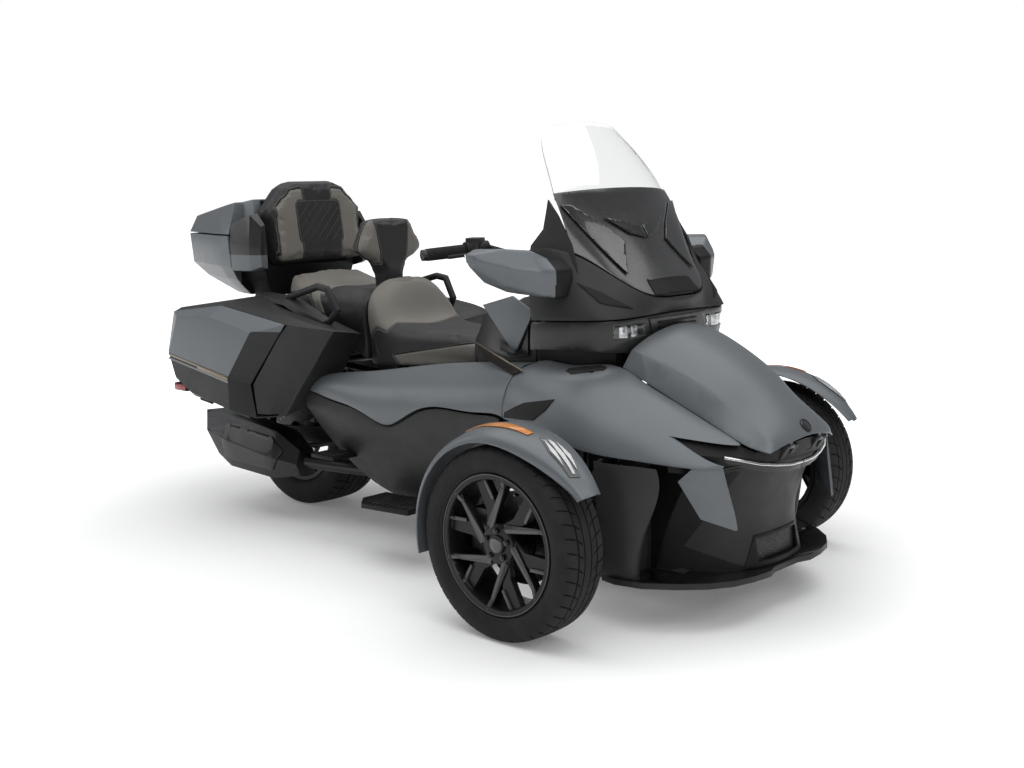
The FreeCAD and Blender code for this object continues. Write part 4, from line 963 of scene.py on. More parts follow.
class TRIKE_OT_panels(bpy.types.Operator):
    """Round and finish the painted and plastic panels"""

    bl_idname = "trike.panels"
    bl_label = "Panels"

    def execute(self, context):
        edge = context.scene.trike_sizes.edge * 1000.0
        for node in PAINTED:
            if node.startswith("side_case_lid"):
                self.case_lid(node, edge * 4)
            elif node == "top_case_lid":
                dressed(node, "body_paint", edge * 3, angle=14.0, segments=3)
            else:
                dressed(node, "body_paint", edge)
        for node in CHARCOAL:
            dressed(node, "charcoal_plastic", edge)
        self.bumper(edge)
        self.case_fronts()
        for node in BLACK:
            dressed(node, "black_plastic", edge)
        pod = (((POD_FRONT, 0, 0), (1, 0, 0)), ((0, 0, POD_BASE), (0, 0, 1)),
               ((0, POD_SIDE, 0), (0, 1, 0)), ((0, -POD_SIDE, 0), (0, 1, 0)))
        case = dressed("top_case", ("body_paint", "satin_black", "black_plastic"), edge * 3, angle=14.0,
                       segments=3, splits=pod)
        repaint(case, 1, lambda spot, normal: spot.x > POD_FRONT and abs(spot.y) > POD_SIDE
                and spot.z > POD_BASE)
        repaint(case, 2, lambda spot, normal: spot.x > POD_FRONT and abs(spot.y) < POD_SIDE)
        root = [((0, side * MIRROR_ROOT, 0), (0, 1, 0)) for side in SIDES]
        mirrors = moulded("mirrors", ("body_paint", "black_plastic"), 5.0, 10, root)
        repaint(mirrors, 1, lambda spot, normal: abs(spot.y) < MIRROR_SOCKET)
        return {"FINISHED"}

    def bumper(self, edge):
        """Charcoal prow, black where it turns into the intakes and under the chin, gloss on the splitter."""
        splits = [sided(plane, side) for plane in (PROW_TURN, PROW_CHIN) for side in SIDES]
        bumper = dressed("nose_bumper", ("charcoal_plastic", "black_plastic", "gloss_black"), edge,
                         splits=splits)

        def dark(spot, normal):
            prow = abs(spot.y) < 345 and 151 < spot.z < 455
            return prow and any((spot - Vector(p)).dot(Vector(n)) > 0 and spot.y * p[1] > 0 for p, n in splits)

        repaint(bumper, 1, dark)
        repaint(bumper, 2, lambda spot, normal: abs(spot.z - SPLITTER_TOP) < 1 and normal.z > 0.9)

    def case_fronts(self):
        """The side cases' closed front faces, in front of the lids."""
        bm = bmesh.new()
        for side in SIDES:
            sheet_bm(bm, [sided(row, side) for row in CASE_FRONT], 4.0)
        finish_mesh("case_fronts", bm, "charcoal_plastic", "chassis")

    def case_lid(self, node, edge):
        """Paint above the trim line and behind the slanting line, charcoal below and in front, with a trim
        and, under the line, a gloss black strip that is painted shade standing for a groove."""
        below, front = Vector(TRIM_BELOW), Vector(TRIM_AHEAD)
        splits = ((TRIM_REAR, below), (TRIM_FRONT, front), ((0, 0, TRIM_TOP), (0, 0, 1)))
        lid = dressed(node, ("body_paint", "charcoal_plastic"), edge, angle=14.0, segments=3, splits=splits)

        def charcoal(spot, normal):
            under = (spot - Vector(TRIM_REAR)).dot(below) < 0
            ahead = (spot - Vector(TRIM_FRONT)).dot(front) > 0 and spot.z < TRIM_TOP
            return under or ahead

        repaint(lid, 1, charcoal)
        side = 1 if node.endswith("left") else -1
        body = BODY_OF[node]
        rear, tip = [Vector((x, side * LID_SIDE, z)) for x, _, z in (TRIM_REAR, TRIM_FRONT)]
        out = Vector((0, side * 1.6, 0))
        bm = bmesh.new()
        ribbon_bm(bm, [rear + out, rear.lerp(tip, 0.5) + out, tip + out], (0, 0, -9), 3.2)
        ribbon_bm(bm, [rear.lerp(tip, 0.5) + out * 1.6, tip + out * 1.6], (0, 0, -15), 4.0)
        round_edges(bm, 0.8)
        finish_mesh(f"{node}_trim", bm, "trim_champagne", body)
        # Painted shade: a gloss black strip under the trim line in place of a groove's shadow
        bm = bmesh.new()
        drop = Vector((0, 0, -17))
        ribbon_bm(bm, [rear + drop + out * 0.5, tip + drop + out * 0.5], (0, 0, -7), 2.0)
        finish_mesh(f"{node}_groove_shade", bm, "gloss_black", body)


# Rows of points across each sheet of the nose, from the middle to the left
NOSE_MASK = ([(1399, 0, 533), (1394, 0, 510), (1386, 0, 480)],
             [(1394, 88, 527), (1388, 90, 505), (1379, 94, 478)],
             [(1380, 146, 512), (1372, 150, 498), (1358, 156, 474)],
             [(1348, 184, 512), (1346, 189, 494), (1341, 186, 472)],
             [(1304, 198, 526), (1312, 232, 500), (1309, 236, 466)],
             [(1262, 234, 542), (1276, 280, 505), (1279, 268, 462)],
             [(1200, 297, 554), (1225, 328, 512), (1230, 322, 455)],
             [(1150, 330, 568), (1165, 366, 525), (1176, 366, 462)])
INTAKE_WALL = ([(1064, 299, 146), (1076, 299, 146), (1088, 299, 146)],
               [(1064, 299, 240), (1088, 298, 240), (1111, 296, 240)],
               [(1064, 300, 330), (1108, 302, 330), (1150, 304, 330)],
               [(1064, 301, 410), (1130, 306, 410), (1194, 312, 410)],
               [(1064, 303, 468), (1150, 313, 466), (1232, 322, 460)],
               [(1064, 430, 492), (1140, 412, 488), (1212, 368, 480)])
INTAKE_FLOOR = ([(1062, 290, 149), (1062, 450, 149)], [(1140, 290, 149), (1120, 440, 149)],
                [(1190, 290, 149), (1180, 400, 149)])
CHIN_JAW = [(1400, -158, 152), (1400, 158, 152), (1400, 112, 246), (1400, -112, 246)]
HOOD_DISC = (1401, 0, 570)
LAMP_COWL = ([(905, 0, 790), (905, 0, 735)], [(898, 150, 790), (896, 150, 722)],
             [(872, 214, 795), (866, 214, 700)], [(800, 244, 800), (800, 238, 692)],
             [(700, 250, 805), (700, 246, 690)], [(604, 252, 860), (604, 250, 690)])
LAMP_SEAL = tuple([(x, y, 892), (x, y, 858)] for x, y in (
    (934, 0), (934, 110), (932, 196), (912, 266), (868, 318), (790, 352), (722, 364)))
SCREEN_SEAL = ([(928, 0, 950), (938, 0, 900)], [(912, 136, 962), (922, 134, 908)],
               [(830, 218, 1030), (838, 222, 976)], [(756, 284, 1084), (764, 290, 1036)])
# The silver strip's line, with the shares by which it stands out ahead and aside
NOSE_STRIP = ((1294, 264, 508, 0.6, 0.6), (1330, 226, 497, 0.7, 0.5), (1356, 178, 483, 0.8, 0.4),
              (1374, 120, 473, 1.0, 0.0), (1385, 60, 467, 1.0, 0.0), (1388, 3, 466, 1.0, 0.0))
# The seam between the hood and a shoulder panel, and the slot in the shoulder panel
HOOD_SEAM = ((900, 243, 752), (950, 238, 724), (1000, 233, 698), (1060, 228, 668), (1120, 224, 638),
             (1180, 219, 608), (1240, 213, 578))
SHOULDER_SLOT = ((775, 338, 714), (765, 312, 719), (815, 290, 727), (862, 271, 732), (890, 283, 728.5),
                 (893, 303, 723.5), (852, 333, 719), (812, 357, 709.5))


class TRIKE_OT_nose(bpy.types.Operator):
    """Add the mask and its silver strip, the hood's disc, the intake walls, the linings and the grille mesh"""

    bl_idname = "trike.nose"
    bl_label = "Nose"

    def execute(self, context):
        dressed("grille", "grille_mesh", 0.8)
        bm = bmesh.new()
        sheet_bm(bm, whole(NOSE_MASK), 3.0)
        finish_mesh("nose_mask", bm, "black_plastic", "chassis")
        bm = bmesh.new()
        for rows in (INTAKE_WALL, [mirrored(row) for row in INTAKE_WALL]):
            sheet_bm(bm, list(rows), 3.0)
        finish_mesh("intake_walls", bm, "black_plastic", "chassis")
        self.strip()
        self.fillers()
        self.seam_liners()
        self.hood_disc()
        return {"FINISHED"}

    def strip(self):
        """The strip and its base run up from the prow's front to the blades' top corners."""
        for name, material, slot, across, out, rounding in (
                ("nose_strip", "trim_silver", "steel", (2.0, 0.6, -7.5), 7.0, 1.0),
                ("nose_strip_base", "satin_black", "gloss_black", (-5.0, -3.0, -26.0), 2.0, 0.6)):
            bm = bmesh.new()
            for side in SIDES:
                guide = [(x + out * ahead, side * (y + out * aside), z) for x, y, z, ahead, aside in NOSE_STRIP]
                ribbon_bm(bm, guide, (across[0], side * across[1], across[2]), 4.0)
            round_edges(bm, rounding)
            finish_mesh(name, bm, material, "chassis")

    def fillers(self):
        """Black linings: the intakes' floors, the jaw round the grille, the cowl and seal under the lamps and
        the screen's seal."""
        bm = bmesh.new()
        for side in SIDES:
            sheet_bm(bm, [sided(row, side) for row in INTAKE_FLOOR], 3.0)
        finish_mesh("intake_floors", bm, "black_plastic", "chassis")
        patches("chin_jaw", "nose_bumper", [CHIN_JAW], (-1, 0, 0), "black_plastic", "chassis",
                0.8, 2.0, 0.4)
        for name, half in (("lamp_cowl", LAMP_COWL), ("screen_seal", SCREEN_SEAL), ("lamp_seal", LAMP_SEAL)):
            bm = bmesh.new()
            sheet_bm(bm, whole(half), 3.0)
            finish_mesh(name, bm, "black_plastic", "chassis")

    def seam_liners(self):
        """Black strips under the seams between the hood and the shoulders, and the shoulders' slots."""
        bm = bmesh.new()
        for side in SIDES:
            guide = [(x, side * (y - 6), z - 30) for x, y, z in HOOD_SEAM]
            ribbon_bm(bm, guide, (0, side * 22, 6), 3.0)
        finish_mesh("seam_liners", bm, "black_plastic", "chassis")
        bm = bmesh.new()
        for side in SIDES:
            slab_bm(bm, sided(SHOULDER_SLOT, side), (0, 0, -6))
        round_edges(bm, 0.8)
        finish_mesh("shoulder_slots", bm, "black_plastic", "chassis")

    def hood_disc(self):
        """A plain disc in a ring on the hood."""
        spot, normal = on_skin("hood", HOOD_DISC)
        bm = bmesh.new()
        spun_bm(bm, [(-3, 0.3), (2.2, 0.3), (2.6, 16.0), (1.6, 18.2), (-3, 18.2)], spot, normal, 48)
        finish_mesh("hood_disc", bm, "gloss_black", "hood_body")
        bm = bmesh.new()
        spun_bm(bm, [(-3, 18.0), (2.8, 18.4), (3.4, 20.0), (2.4, 22.0), (-3, 22.4)], spot, normal, 48)
        finish_mesh("hood_disc_ring", bm, "black_steel", "hood_body")


# Head lamps: the bowl's outline with its base and depth, and each eye's place, half width and half height
BOWL, BOWL_BASE, BOWL_DEPTH, BOWL_OPEN = ((868, 157), (935, 157), (911, 285), (868, 285)), 813, 38, 909
EYES = ((186, 16, 13), (240, 19, 15))
EYE_LEVEL, EYE_BACK, EYE_FRONT = 831, 896, 918
LAMP_CENTRE = [(1000, -146, 866), (1000, 146, 866), (1000, 120, 806), (1000, -120, 806)]
FIN_LEVELS = (822, 836, 850)
RUNNING_LIGHT = [(1010, 717, 590), (1043, 694, 581), (1090, 694, 552), (1137, 717, 510), (1121, 739, 511),
                 (1052, 737, 557)]
STREAKS = ((0.02, 0.30), (0.37, 0.64), (0.71, 0.96))
SIDE_MARKER = [(722, 711, 640), (848, 706, 640), (976, 712, 640), (973, 733, 640), (850, 737, 640),
               (722, 716, 640)]
CASE_CORNER = (-1040, 500, 505)


class TRIKE_OT_lamps(bpy.types.Operator):
    """Finish the head lamps and add the running lights, side markers, tail lamps and reflectors"""

    bl_idname = "trike.lamps"
    bl_label = "Lamps"

    def execute(self, context):
        dressed("headlamps", "satin_black", 1.2)
        dressed("headlamp_lenses", "lamp_glass", 0.6)
        dressed("tail_lamps", "red_lens", 3.0)
        self.head_lamps()
        for side, word in zip(SIDES, ("right", "left")):
            self.fender_lamps(side, word)
            self.case_reflector(side, word)
        return {"FINISHED"}

    def head_lamps(self):
        """Bowls with two eyes each, and the black middle with its fins."""
        bowls, eyes, rings = bmesh.new(), bmesh.new(), bmesh.new()
        for side in SIDES:
            made = slab_bm(bowls, [(x, side * y, BOWL_BASE) for x, y in BOWL], (0, 0, BOWL_DEPTH))
            self.open_front(bowls, made, BOWL_OPEN)
            for y, wide, high in EYES:
                made = box_bm(rings, (EYE_BACK, side * y - wide, EYE_LEVEL - high),
                              (EYE_FRONT, side * y + wide, EYE_LEVEL + high))
                self.open_front(rings, {f for v in made for f in v.link_faces}, EYE_FRONT - 1)
                drum_bm(eyes, (EYE_BACK, side * y, EYE_LEVEL), (1, 0, 0), 9.0, 14.0, 28, 7.5)
        for bm, thick in ((bowls, 2.0), (rings, 1.5)):
            faces = bm.faces[:]
            bmesh.ops.recalc_face_normals(bm, faces=faces)
            bmesh.ops.solidify(bm, geom=faces, thickness=mm(thick))
        round_edges(bowls, 1.5)
        finish_mesh("head_lamp_bowls", bowls, "satin_black", "chassis")
        round_edges(eyes, 2.0)
        finish_mesh("head_lamp_eyes", eyes, "white_lens", "chassis")
        finish_mesh("head_lamp_rings", rings, "reflector", "chassis")
        patches("lamp_centre", "headlamps", [LAMP_CENTRE], (-1, 0, 0), "satin_black", "chassis",
                0.6, 2.5, 1.0)
        fins = bmesh.new()
        for z in FIN_LEVELS:
            low, _ = on_skin("headlamps", (950, 0, z))
            box_bm(fins, (low.x - 2, -98, z - 3.2), (low.x + 7, 98, z + 3.2))
        round_edges(fins, 1.2)
        finish_mesh("lamp_centre_fins", fins, "black_plastic", "chassis")

    def open_front(self, bm, faces, limit):
        """Takes out the faces that lie wholly ahead of a limit, in millimetres."""
        front = [f for f in faces if all(v.co.x > mm(limit) for v in f.verts)]
        bmesh.ops.delete(bm, geom=front, context="FACES_ONLY")

    def fender_lamps(self, side, word):
        """A clear running light of three streaks on a fender's front, and an amber marker on its crown."""
        node, body = f"fender_{word}", BODY_OF[f"fender_{word}"]
        outline = sided(RUNNING_LIGHT, side)
        middle = sum((Vector(p) for p in outline), Vector()) / len(outline)
        rim = [middle + (Vector(p) - middle) * 1.12 for p in outline]
        patches(f"running_light_rim_{word}", node, [rim], (-0.5, 0, -1), "gloss_black", body,
                0.5, 2.0)
        inner, outer = [Vector(outline[k]) for k in (1, 2, 3)], [Vector(outline[k]) for k in (0, 5, 4)]
        pairs = list(zip(inner, outer))
        streaks = [[a.lerp(b, start) for a, b in pairs] + [a.lerp(b, end) for a, b in reversed(pairs)]
                   for start, end in STREAKS]
        patches(f"running_light_{word}", node, streaks, (-0.5, 0, -1), "white_lens", body, 2.4,
                3.0, 0.8)
        patches(f"side_marker_{word}", node, [sided(SIDE_MARKER, side)], (0, 0, -1), "amber_lens", body,
                1.2, 2.5, 0.6)

    def case_reflector(self, side, word):
        """A red reflector in a black holder at the lower rear corner of a side case."""
        body = BODY_OF[f"side_case_lid_{word}"]
        corner, _ = on_skin(f"side_case_lid_{word}", sided([CASE_CORNER], side)[0])
        for name, grow, finish in (("holder", 3.0, "black_plastic"), ("reflector", 0.0, "red_lens")):
            bm = bmesh.new()
            shift = 3.0 if grow else 0.0
            near, far = sorted((corner.y + side * (15 - shift), corner.y - side * (26 + grow)))
            box_bm(bm, (corner.x - 46 - grow, near, corner.z - 18 - grow),
                   (corner.x + 30 + grow, far, corner.z + 6 + grow))
            round_edges(bm, 5.0, segments=3)
            finish_mesh(f"case_{name}_{word}", bm, finish, body)


# Outlines of thin panels on the skins that carry them, on one side
BLADE = [(712, 283, 1205), (723, 250, 1204), (778, 159, 1141), (818, 105, 1091), (879, 170, 996)]
CHEVRON = [(768, 146, 1165), (800, 3, 1133), (822, 3, 1098), (808, 68, 1114)]
SCREEN_SLOT = [(950, -116, 930), (950, 116, 930), (912, 104, 984), (912, -104, 984)]
# Painted shade: a black sheet on the fairing where its recess under the screen panel lies in shadow
RECESS_SHADE = [(753, -338, 1023), (812, -326, 979), (868, -287, 953), (935, -214, 900), (893, -280, 914),
          (827, -337, 935), (777, -352, 960)]
MIRROR_GLASS = [(500, 462, 1006), (500, 560, 1034), (500, 590, 1052), (500, 584, 1072), (500, 470, 1074)]
# Painted shade: a black sheet on the shoulder panel where a gap below the shoulder shows dark
SHOULDER_GAP_SHADE = [(818, 440, 644), (700, 440, 622), (612, 430, 583), (606, 438, 566), (750, 460, 576),
                   (798, 456, 612)]


class TRIKE_OT_screen(bpy.types.Operator):
    """Finish the screen, its panel with blades and slot, the painted shade in the fairing's recesses and the
    shoulders' gaps, and the mirror glasses
    """

    bl_idname = "trike.screen"
    bl_label = "Screen"

    def execute(self, context):
        dressed("screen_panel", "screen_black", 1.2)
        dressed("windscreen", "screen_glass", 1.0)
        down = (-0.85, 0, -0.5)
        for name, outline, lift in (("screen_blades", BLADE, 3.0), ("screen_chevron", CHEVRON, 3.4)):
            patches(name, "screen_panel", [outline, mirrored(outline)], down, "gloss_black", "chassis",
                    lift, lift + 1.5, 1.0)
        patches("screen_slot", "screen_panel", [SCREEN_SLOT], (-0.8, 0, -0.6), "black_plastic", "chassis",
                0.6, 2.0, 0.5)
        lip = bmesh.new()
        points = [on_skin("screen_panel", (912, y, 988), 3.0)[0] for y in range(-104, 105, 26)]
        ribbon_bm(lip, points, (7.0, 0, -5.0), 3.0)
        round_edges(lip, 1.0)
        finish_mesh("screen_slot_lip", lip, "satin_black", "chassis")
        # Black sheets that paint the shade of the fairing's recesses and of the shoulders' gaps
        patches("fairing_recess_shade", "front_fairing", [RECESS_SHADE, mirrored(RECESS_SHADE)],
                [(-0.7, 0.7, -0.1), (-0.7, -0.7, -0.1)], "black_plastic", "chassis", 0.8, 2.0,
                0.4)
        patches("mirror_glasses", "mirrors", [MIRROR_GLASS, mirrored(MIRROR_GLASS)], (1, 0, 0), "mirror_glass",
                "chassis", 0.8, 2.0, 0.4)
        patches("shoulder_gap_shade", "shoulder_panels", [SHOULDER_GAP_SHADE, mirrored(SHOULDER_GAP_SHADE)],
                [(0, -1, 0), (0, 1, 0)], "black_plastic", "chassis", 0.8, 2.0, 0.5)
        return {"FINISHED"}


# The left grip's axis and ribs, the left switch pod's place and turn, and its keys as (ahead, up)
GRIP_START, GRIP_TIP = (320, 296, 1062), (268, 425, 1052)
GRIP_RIBS, RIB_PITCH = 19, 6.4
POD_PLACE, POD_TURN = 262, 22
POD_KEYS = ((-19, 12), (-19, -4), (-19, -18))
CONSOLE_PLATE = [(300, 216, 742), (330, 226, 850), (450, 250, 885), (560, 262, 850), (560, 262, 735),
                 (470, 256, 722)]
CONSOLE_BLADE = [(352, 240, 884), (500, 258, 922), (588, 262, 880), (578, 262, 850), (520, 260, 752),
                 (500, 258, 744)]
CONSOLE_TRIM = [(339, 276, 764), (634, 372, 707), (600, 381, 692), (404, 290, 712)]


class TRIKE_OT_cockpit(bpy.types.Operator):
    """Finish the handlebar, grips, switch pods, display, console trims and footboards"""

    bl_idname = "trike.cockpit"
    bl_label = "Cockpit"

    def execute(self, context):
        dressed("handlebar", "black_plastic", 1.0)
        grips, ends, pods = bmesh.new(), bmesh.new(), bmesh.new()
        for side in SIDES:
            start, tip = [Vector(p) for p in sided((GRIP_START, GRIP_TIP), side)]
            axis = (tip - start).normalized()
            length = (tip - start).length
            profile = [(4.0, 15.0)]
            for k in range(GRIP_RIBS):
                rib = k * RIB_PITCH
                profile += [(4 + rib, 20.2), (8.4 + rib, 20.2), (8.8 + rib, 19.0), (10 + rib, 19.0)]
            profile += [(length - 8, 20.4), (length - 2, 19.0), (length - 2, 15.0)]
            spun_bm(grips, profile, start, axis, 40)
            end = ((-1, 0.3), (13, 0.3), (15, 12), (12, 18), (-1, 18.5))
            spun_bm(ends, [(length + beyond, reach) for beyond, reach in end], start, axis, 32)
            pod = Matrix.Rotation(math.radians(-side * POD_TURN), 4, "Z")
            middle = side * POD_PLACE
            box_bm(pods, (308, middle - 29, 1042), (356, middle + 29, 1102), pod)
            for k, (ahead, up) in enumerate(POD_KEYS):
                half = 10 - 3 * k
                low, high = (312 + ahead * 0.2, middle - half, 1070 + up), (320, middle + half, 1082 + up)
                box_bm(pods, low, high, pod)
        finish_mesh("grips", grips, "tyre", "handlebar_body")
        finish_mesh("bar_ends", ends, "black_steel", "handlebar_body")
        round_edges(pods, 4.0, segments=3)
        finish_mesh("switch_pods", pods, "satin_black", "handlebar_body")
        self.instruments()
        self.console_sides()
        self.foot_ribs()
        return {"FINISHED"}

    def instruments(self):
        """The display, dark, in its frame."""
        bm = bmesh.new()
        box_bm(bm, (548, -128, 972), (562, 128, 1050))
        round_edges(bm, 5.0, segments=3)
        finish_mesh("display_frame", bm, "satin_black", "chassis")
        bm = bmesh.new()
        box_bm(bm, (546.4, -116, 984), (549, 116, 1040))
        round_edges(bm, 0.6)
        finish_mesh("display_glass", bm, "gloss_black", "chassis")

    def console_sides(self):
        """Beside the console: a dark plate, a painted blade over it and a champagne trim below."""
        plates, blades, trims, edges = bmesh.new(), bmesh.new(), bmesh.new(), bmesh.new()
        for side in SIDES:
            for bm, outline, thick, gap in ((plates, CONSOLE_PLATE, 6.0, 0.0),
                                            (blades, CONSOLE_BLADE, 9.0, 7.0),
                                            (trims, CONSOLE_TRIM, 5.0, 0.0)):
                slab_bm(bm, [(x, side * (y + gap), z) for x, y, z in outline], (0, side * thick, 0))
            ribbon_bm(edges, [(x, side * (y + 6), z + 2) for x, y, z in CONSOLE_TRIM[:2]], (0, 0, -5), 3.0)
        for name, bm, material, slot in (("console_plates", plates, "satin_black", "charcoal_plastic"),
                                         ("console_blades", blades, "body_paint", "body_paint"),
                                         ("console_trims", trims, "trim_bronze", "steel"),
                                         ("console_trim_edges", edges, "trim_champagne", "steel")):
            round_edges(bm, 0.8 if bm is edges else 2.0, segments=3)
            finish_mesh(name, bm, material, "chassis")

    def foot_ribs(self):
        """Rubber ribs across the rider's and the passenger's footboards."""
        bm = bmesh.new()
        for side in SIDES:
            for k in range(9):
                x = 16 + k * 25
                z = 212 + x / 23.0
                low, high = sorted((side * 350, side * 484))
                box_bm(bm, (x - 6, low, z - 1), (x + 6, high, z + 4))
            low, high = sorted((side * 345, side * 432))
            for k in range(4):
                box_bm(bm, (-318 + k * 28, low, 331), (-304 + k * 28, high, 336))
        round_edges(bm, 1.6)
        finish_mesh("foot_ribs", bm, "tyre", "chassis")


OUTLET, OUTLET_AXIS = (-1036, -312, 308), (-0.9936, 0, 0.1104)
MUFFLER_SHIELD = [(-930, -400, 232), (-640, -400, 216), (-600, -400, 290), (-660, -400, 340), (-940, -400, 360)]


class TRIKE_OT_exhaust(bpy.types.Operator):
    """Finish the muffler with its shield and outlet ring"""

    bl_idname = "trike.exhaust"
    bl_label = "Exhaust"

    def execute(self, context):
        dressed("muffler", "black_steel", 3.0, segments=3)
        bm = bmesh.new()
        spun_bm(bm, [(-30, 31), (10, 31), (14, 33.5), (12, 37), (-30, 37)], OUTLET, OUTLET_AXIS, 48)
        finish_mesh("outlet_ring", bm, "steel", "chassis")
        patches("muffler_shield", "muffler", [MUFFLER_SHIELD], (0, 1, 0), "satin_black", "chassis",
                3.0, 2.5, 1.0)
        return {"FINISHED"}


# Upholstery
CLOTH_FRAMES = 20
SEAM_DEPTH, SEAM_WIDTH = 2.6, 3.2
# The pillion pad begins behind this place, and no seam is further than this from a point of its leather
SEAT_SPLIT = -302.0
FAR = 40.0


def pad_from(node, name, keep, body, sizes, panel, still, quilt=None, material="leather"):
    """A padded piece from the part of a CAD node that keep chooses: remeshed, swelled and seamed.

    panel gives the distance in millimetres to the seam between its two leathers, still gives how
    freely a point may move, from 0 to 1, and quilt how deep the quilting is, from 0 to 1."""
    bm = node_mesh(node)
    bmesh.ops.delete(bm, geom=[v for v in bm.verts if not keep(v)], context="VERTS")
    bmesh.ops.recalc_face_normals(bm, faces=bm.faces)
    piece = smoothed(bm, name, sizes.voxel, 6)
    swell(piece, sizes.swell, still)
    finer = piece.modifiers.new("finer", "SUBSURF")
    finer.levels = 1
    finer.render_levels = 1
    apply_modifiers(piece)
    seam_mesh(piece, panel, quilt)
    piece.data.polygons.foreach_set("use_smooth", [True] * len(piece.data.polygons))
    piece.data.materials.clear()
    piece.data.materials.append(MATERIALS[material])
    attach(piece, body)
    return piece


def apply_modifiers(piece):
    """Puts the result of a piece's modifiers into its mesh."""
    bpy.context.view_layer.update()
    done = bpy.data.meshes.new_from_object(piece.evaluated_get(bpy.context.evaluated_depsgraph_get()))
    old = piece.data
    piece.modifiers.clear()
    piece.data = done
    done.name = piece.name
    bpy.data.meshes.remove(old)


def swell(piece, most, still):
    """Puffs a pad with Cloth pressure and keeps each point within most of where it was."""
    before = [v.co.copy() for v in piece.data.vertices]
    cloth = piece.modifiers.new("cloth", "CLOTH")
    cloth.settings.use_pressure = True
    cloth.settings.uniform_pressure_force = 4.0
    cloth.settings.effector_weights.gravity = 0.0
    cloth.settings.quality = 4
    cloth.settings.tension_stiffness = 20.0
    cloth.settings.compression_stiffness = 20.0
    cloth.collision_settings.use_collision = False
    cloth.point_cache.frame_start = 1
    cloth.point_cache.frame_end = CLOTH_FRAMES
    scene = bpy.context.scene
    for number in range(1, CLOTH_FRAMES + 1):
        scene.frame_set(number)
    apply_modifiers(piece)
    scene.frame_set(1)
    for vert, start in zip(piece.data.vertices, before):
        move = vert.co - start
        limit = most * still(start * 1000.0)
        if move.length > limit:
            move *= limit / max(move.length, 1e-9)
        vert.co = start + move


def seam_mesh(piece, panel, quilt):
    """Draws the skin in along its seams and stores the distances that the leather reads."""
    mesh = piece.data
    spots = [vert.co * 1000.0 for vert in mesh.vertices]
    normals = [vert.normal.copy() for vert in mesh.vertices]
    distances = [panel(spot) for spot in spots]
    edge = mesh.attributes.new("panel", "FLOAT", "POINT")
    edge.data.foreach_set("value", [mm(distance) for distance in distances])
    soft = mesh.attributes.new("quilt", "FLOAT", "POINT")
    soft.data.foreach_set("value", [quilt(spot) if quilt else 0.0 for spot in spots])
    for vert, spot, normal, distance in zip(mesh.vertices, spots, normals, distances):
        vert.co = (spot - normal * SEAM_DEPTH * math.exp(-(distance / SEAM_WIDTH) ** 2)) / 1000.0
    mesh.update()


def arch_height(y):
    """Top of the rider seat's grey arch at a distance y from the middle."""
    return 690.0 + 244.0 * max(0.0, 1.0 - (abs(y) / 232.0) ** 8) ** (1 / 3)


def rider_panel(spot):
    """Grey: the arch in front of the bolster, and the low band along the side."""
    seat_back = -150.0 - 0.0011 * spot.y * spot.y
    flank = 153.0 + (spot.z - 687.0) * 0.56 - abs(spot.y)
    arch = min(arch_height(spot.y) - spot.z, seat_back - spot.x + 6.0, spot.x + 318.0, flank, FAR)
    band_top = 669.0 + (spot.x + 167.0) * 0.181
    band = min(band_top - spot.z, spot.x + 150.0 - (band_top - spot.z) * 0.9, FAR)
    return max(arch, band)


def pillion_panel(spot):
    """Grey: the seating surface behind a cross seam and a stripe down each side."""
    top = min(-spot.x - 520.0, spot.z - 868.0 - (abs(spot.y) > 190) * 4.0)
    stripe = min(20.0 - abs(spot.x + 0.62 * (spot.z - 860.0) + 560.0) * 0.8, spot.z - 800.0)
    return max(min(top, FAR), min(stripe, FAR))


def rider_rest_panel(spot):
    """Grey wings beside a dark middle that narrows downwards."""
    middle = 64.0 + clamp((spot.z - 990.0) / 140.0) * 20.0
    return min(abs(spot.y) - middle, spot.x + 386.0, spot.z - 985.0)


def quilted_panel(spot):
    """Distance to the rounded panel in the middle of the passenger backrest, negative inside."""
    tall = abs(spot.z - 1132.0) - 86.0
    wide = abs(spot.y) - 111.0
    corner = 26.0
    beyond = math.hypot(max(wide + corner, 0.0), max(tall + corner, 0.0))
    return beyond - corner + min(max(wide, tall) + corner, 0.0)


def passenger_rest_panel(spot):
    """Grey bolsters beside the dark panel, the dark part below it and the dark head piece."""
    head = abs(spot.y) - 71.0 - (spot.z - 1226.0) * 0.1 if spot.z > 1216.0 else 60.0
    lower = abs(spot.y) - 99.0 if spot.z < 1070.0 else 60.0
    return min(quilted_panel(spot), head, lower, spot.x + 789.0, 200.0 - abs(spot.y))


def passenger_quilt(spot):
    """Quilting inside the dark panel's edge, on the front only."""
    return smooth((-quilted_panel(spot) - 8.0) / 6.0) if spot.x > -800.0 else 0.0


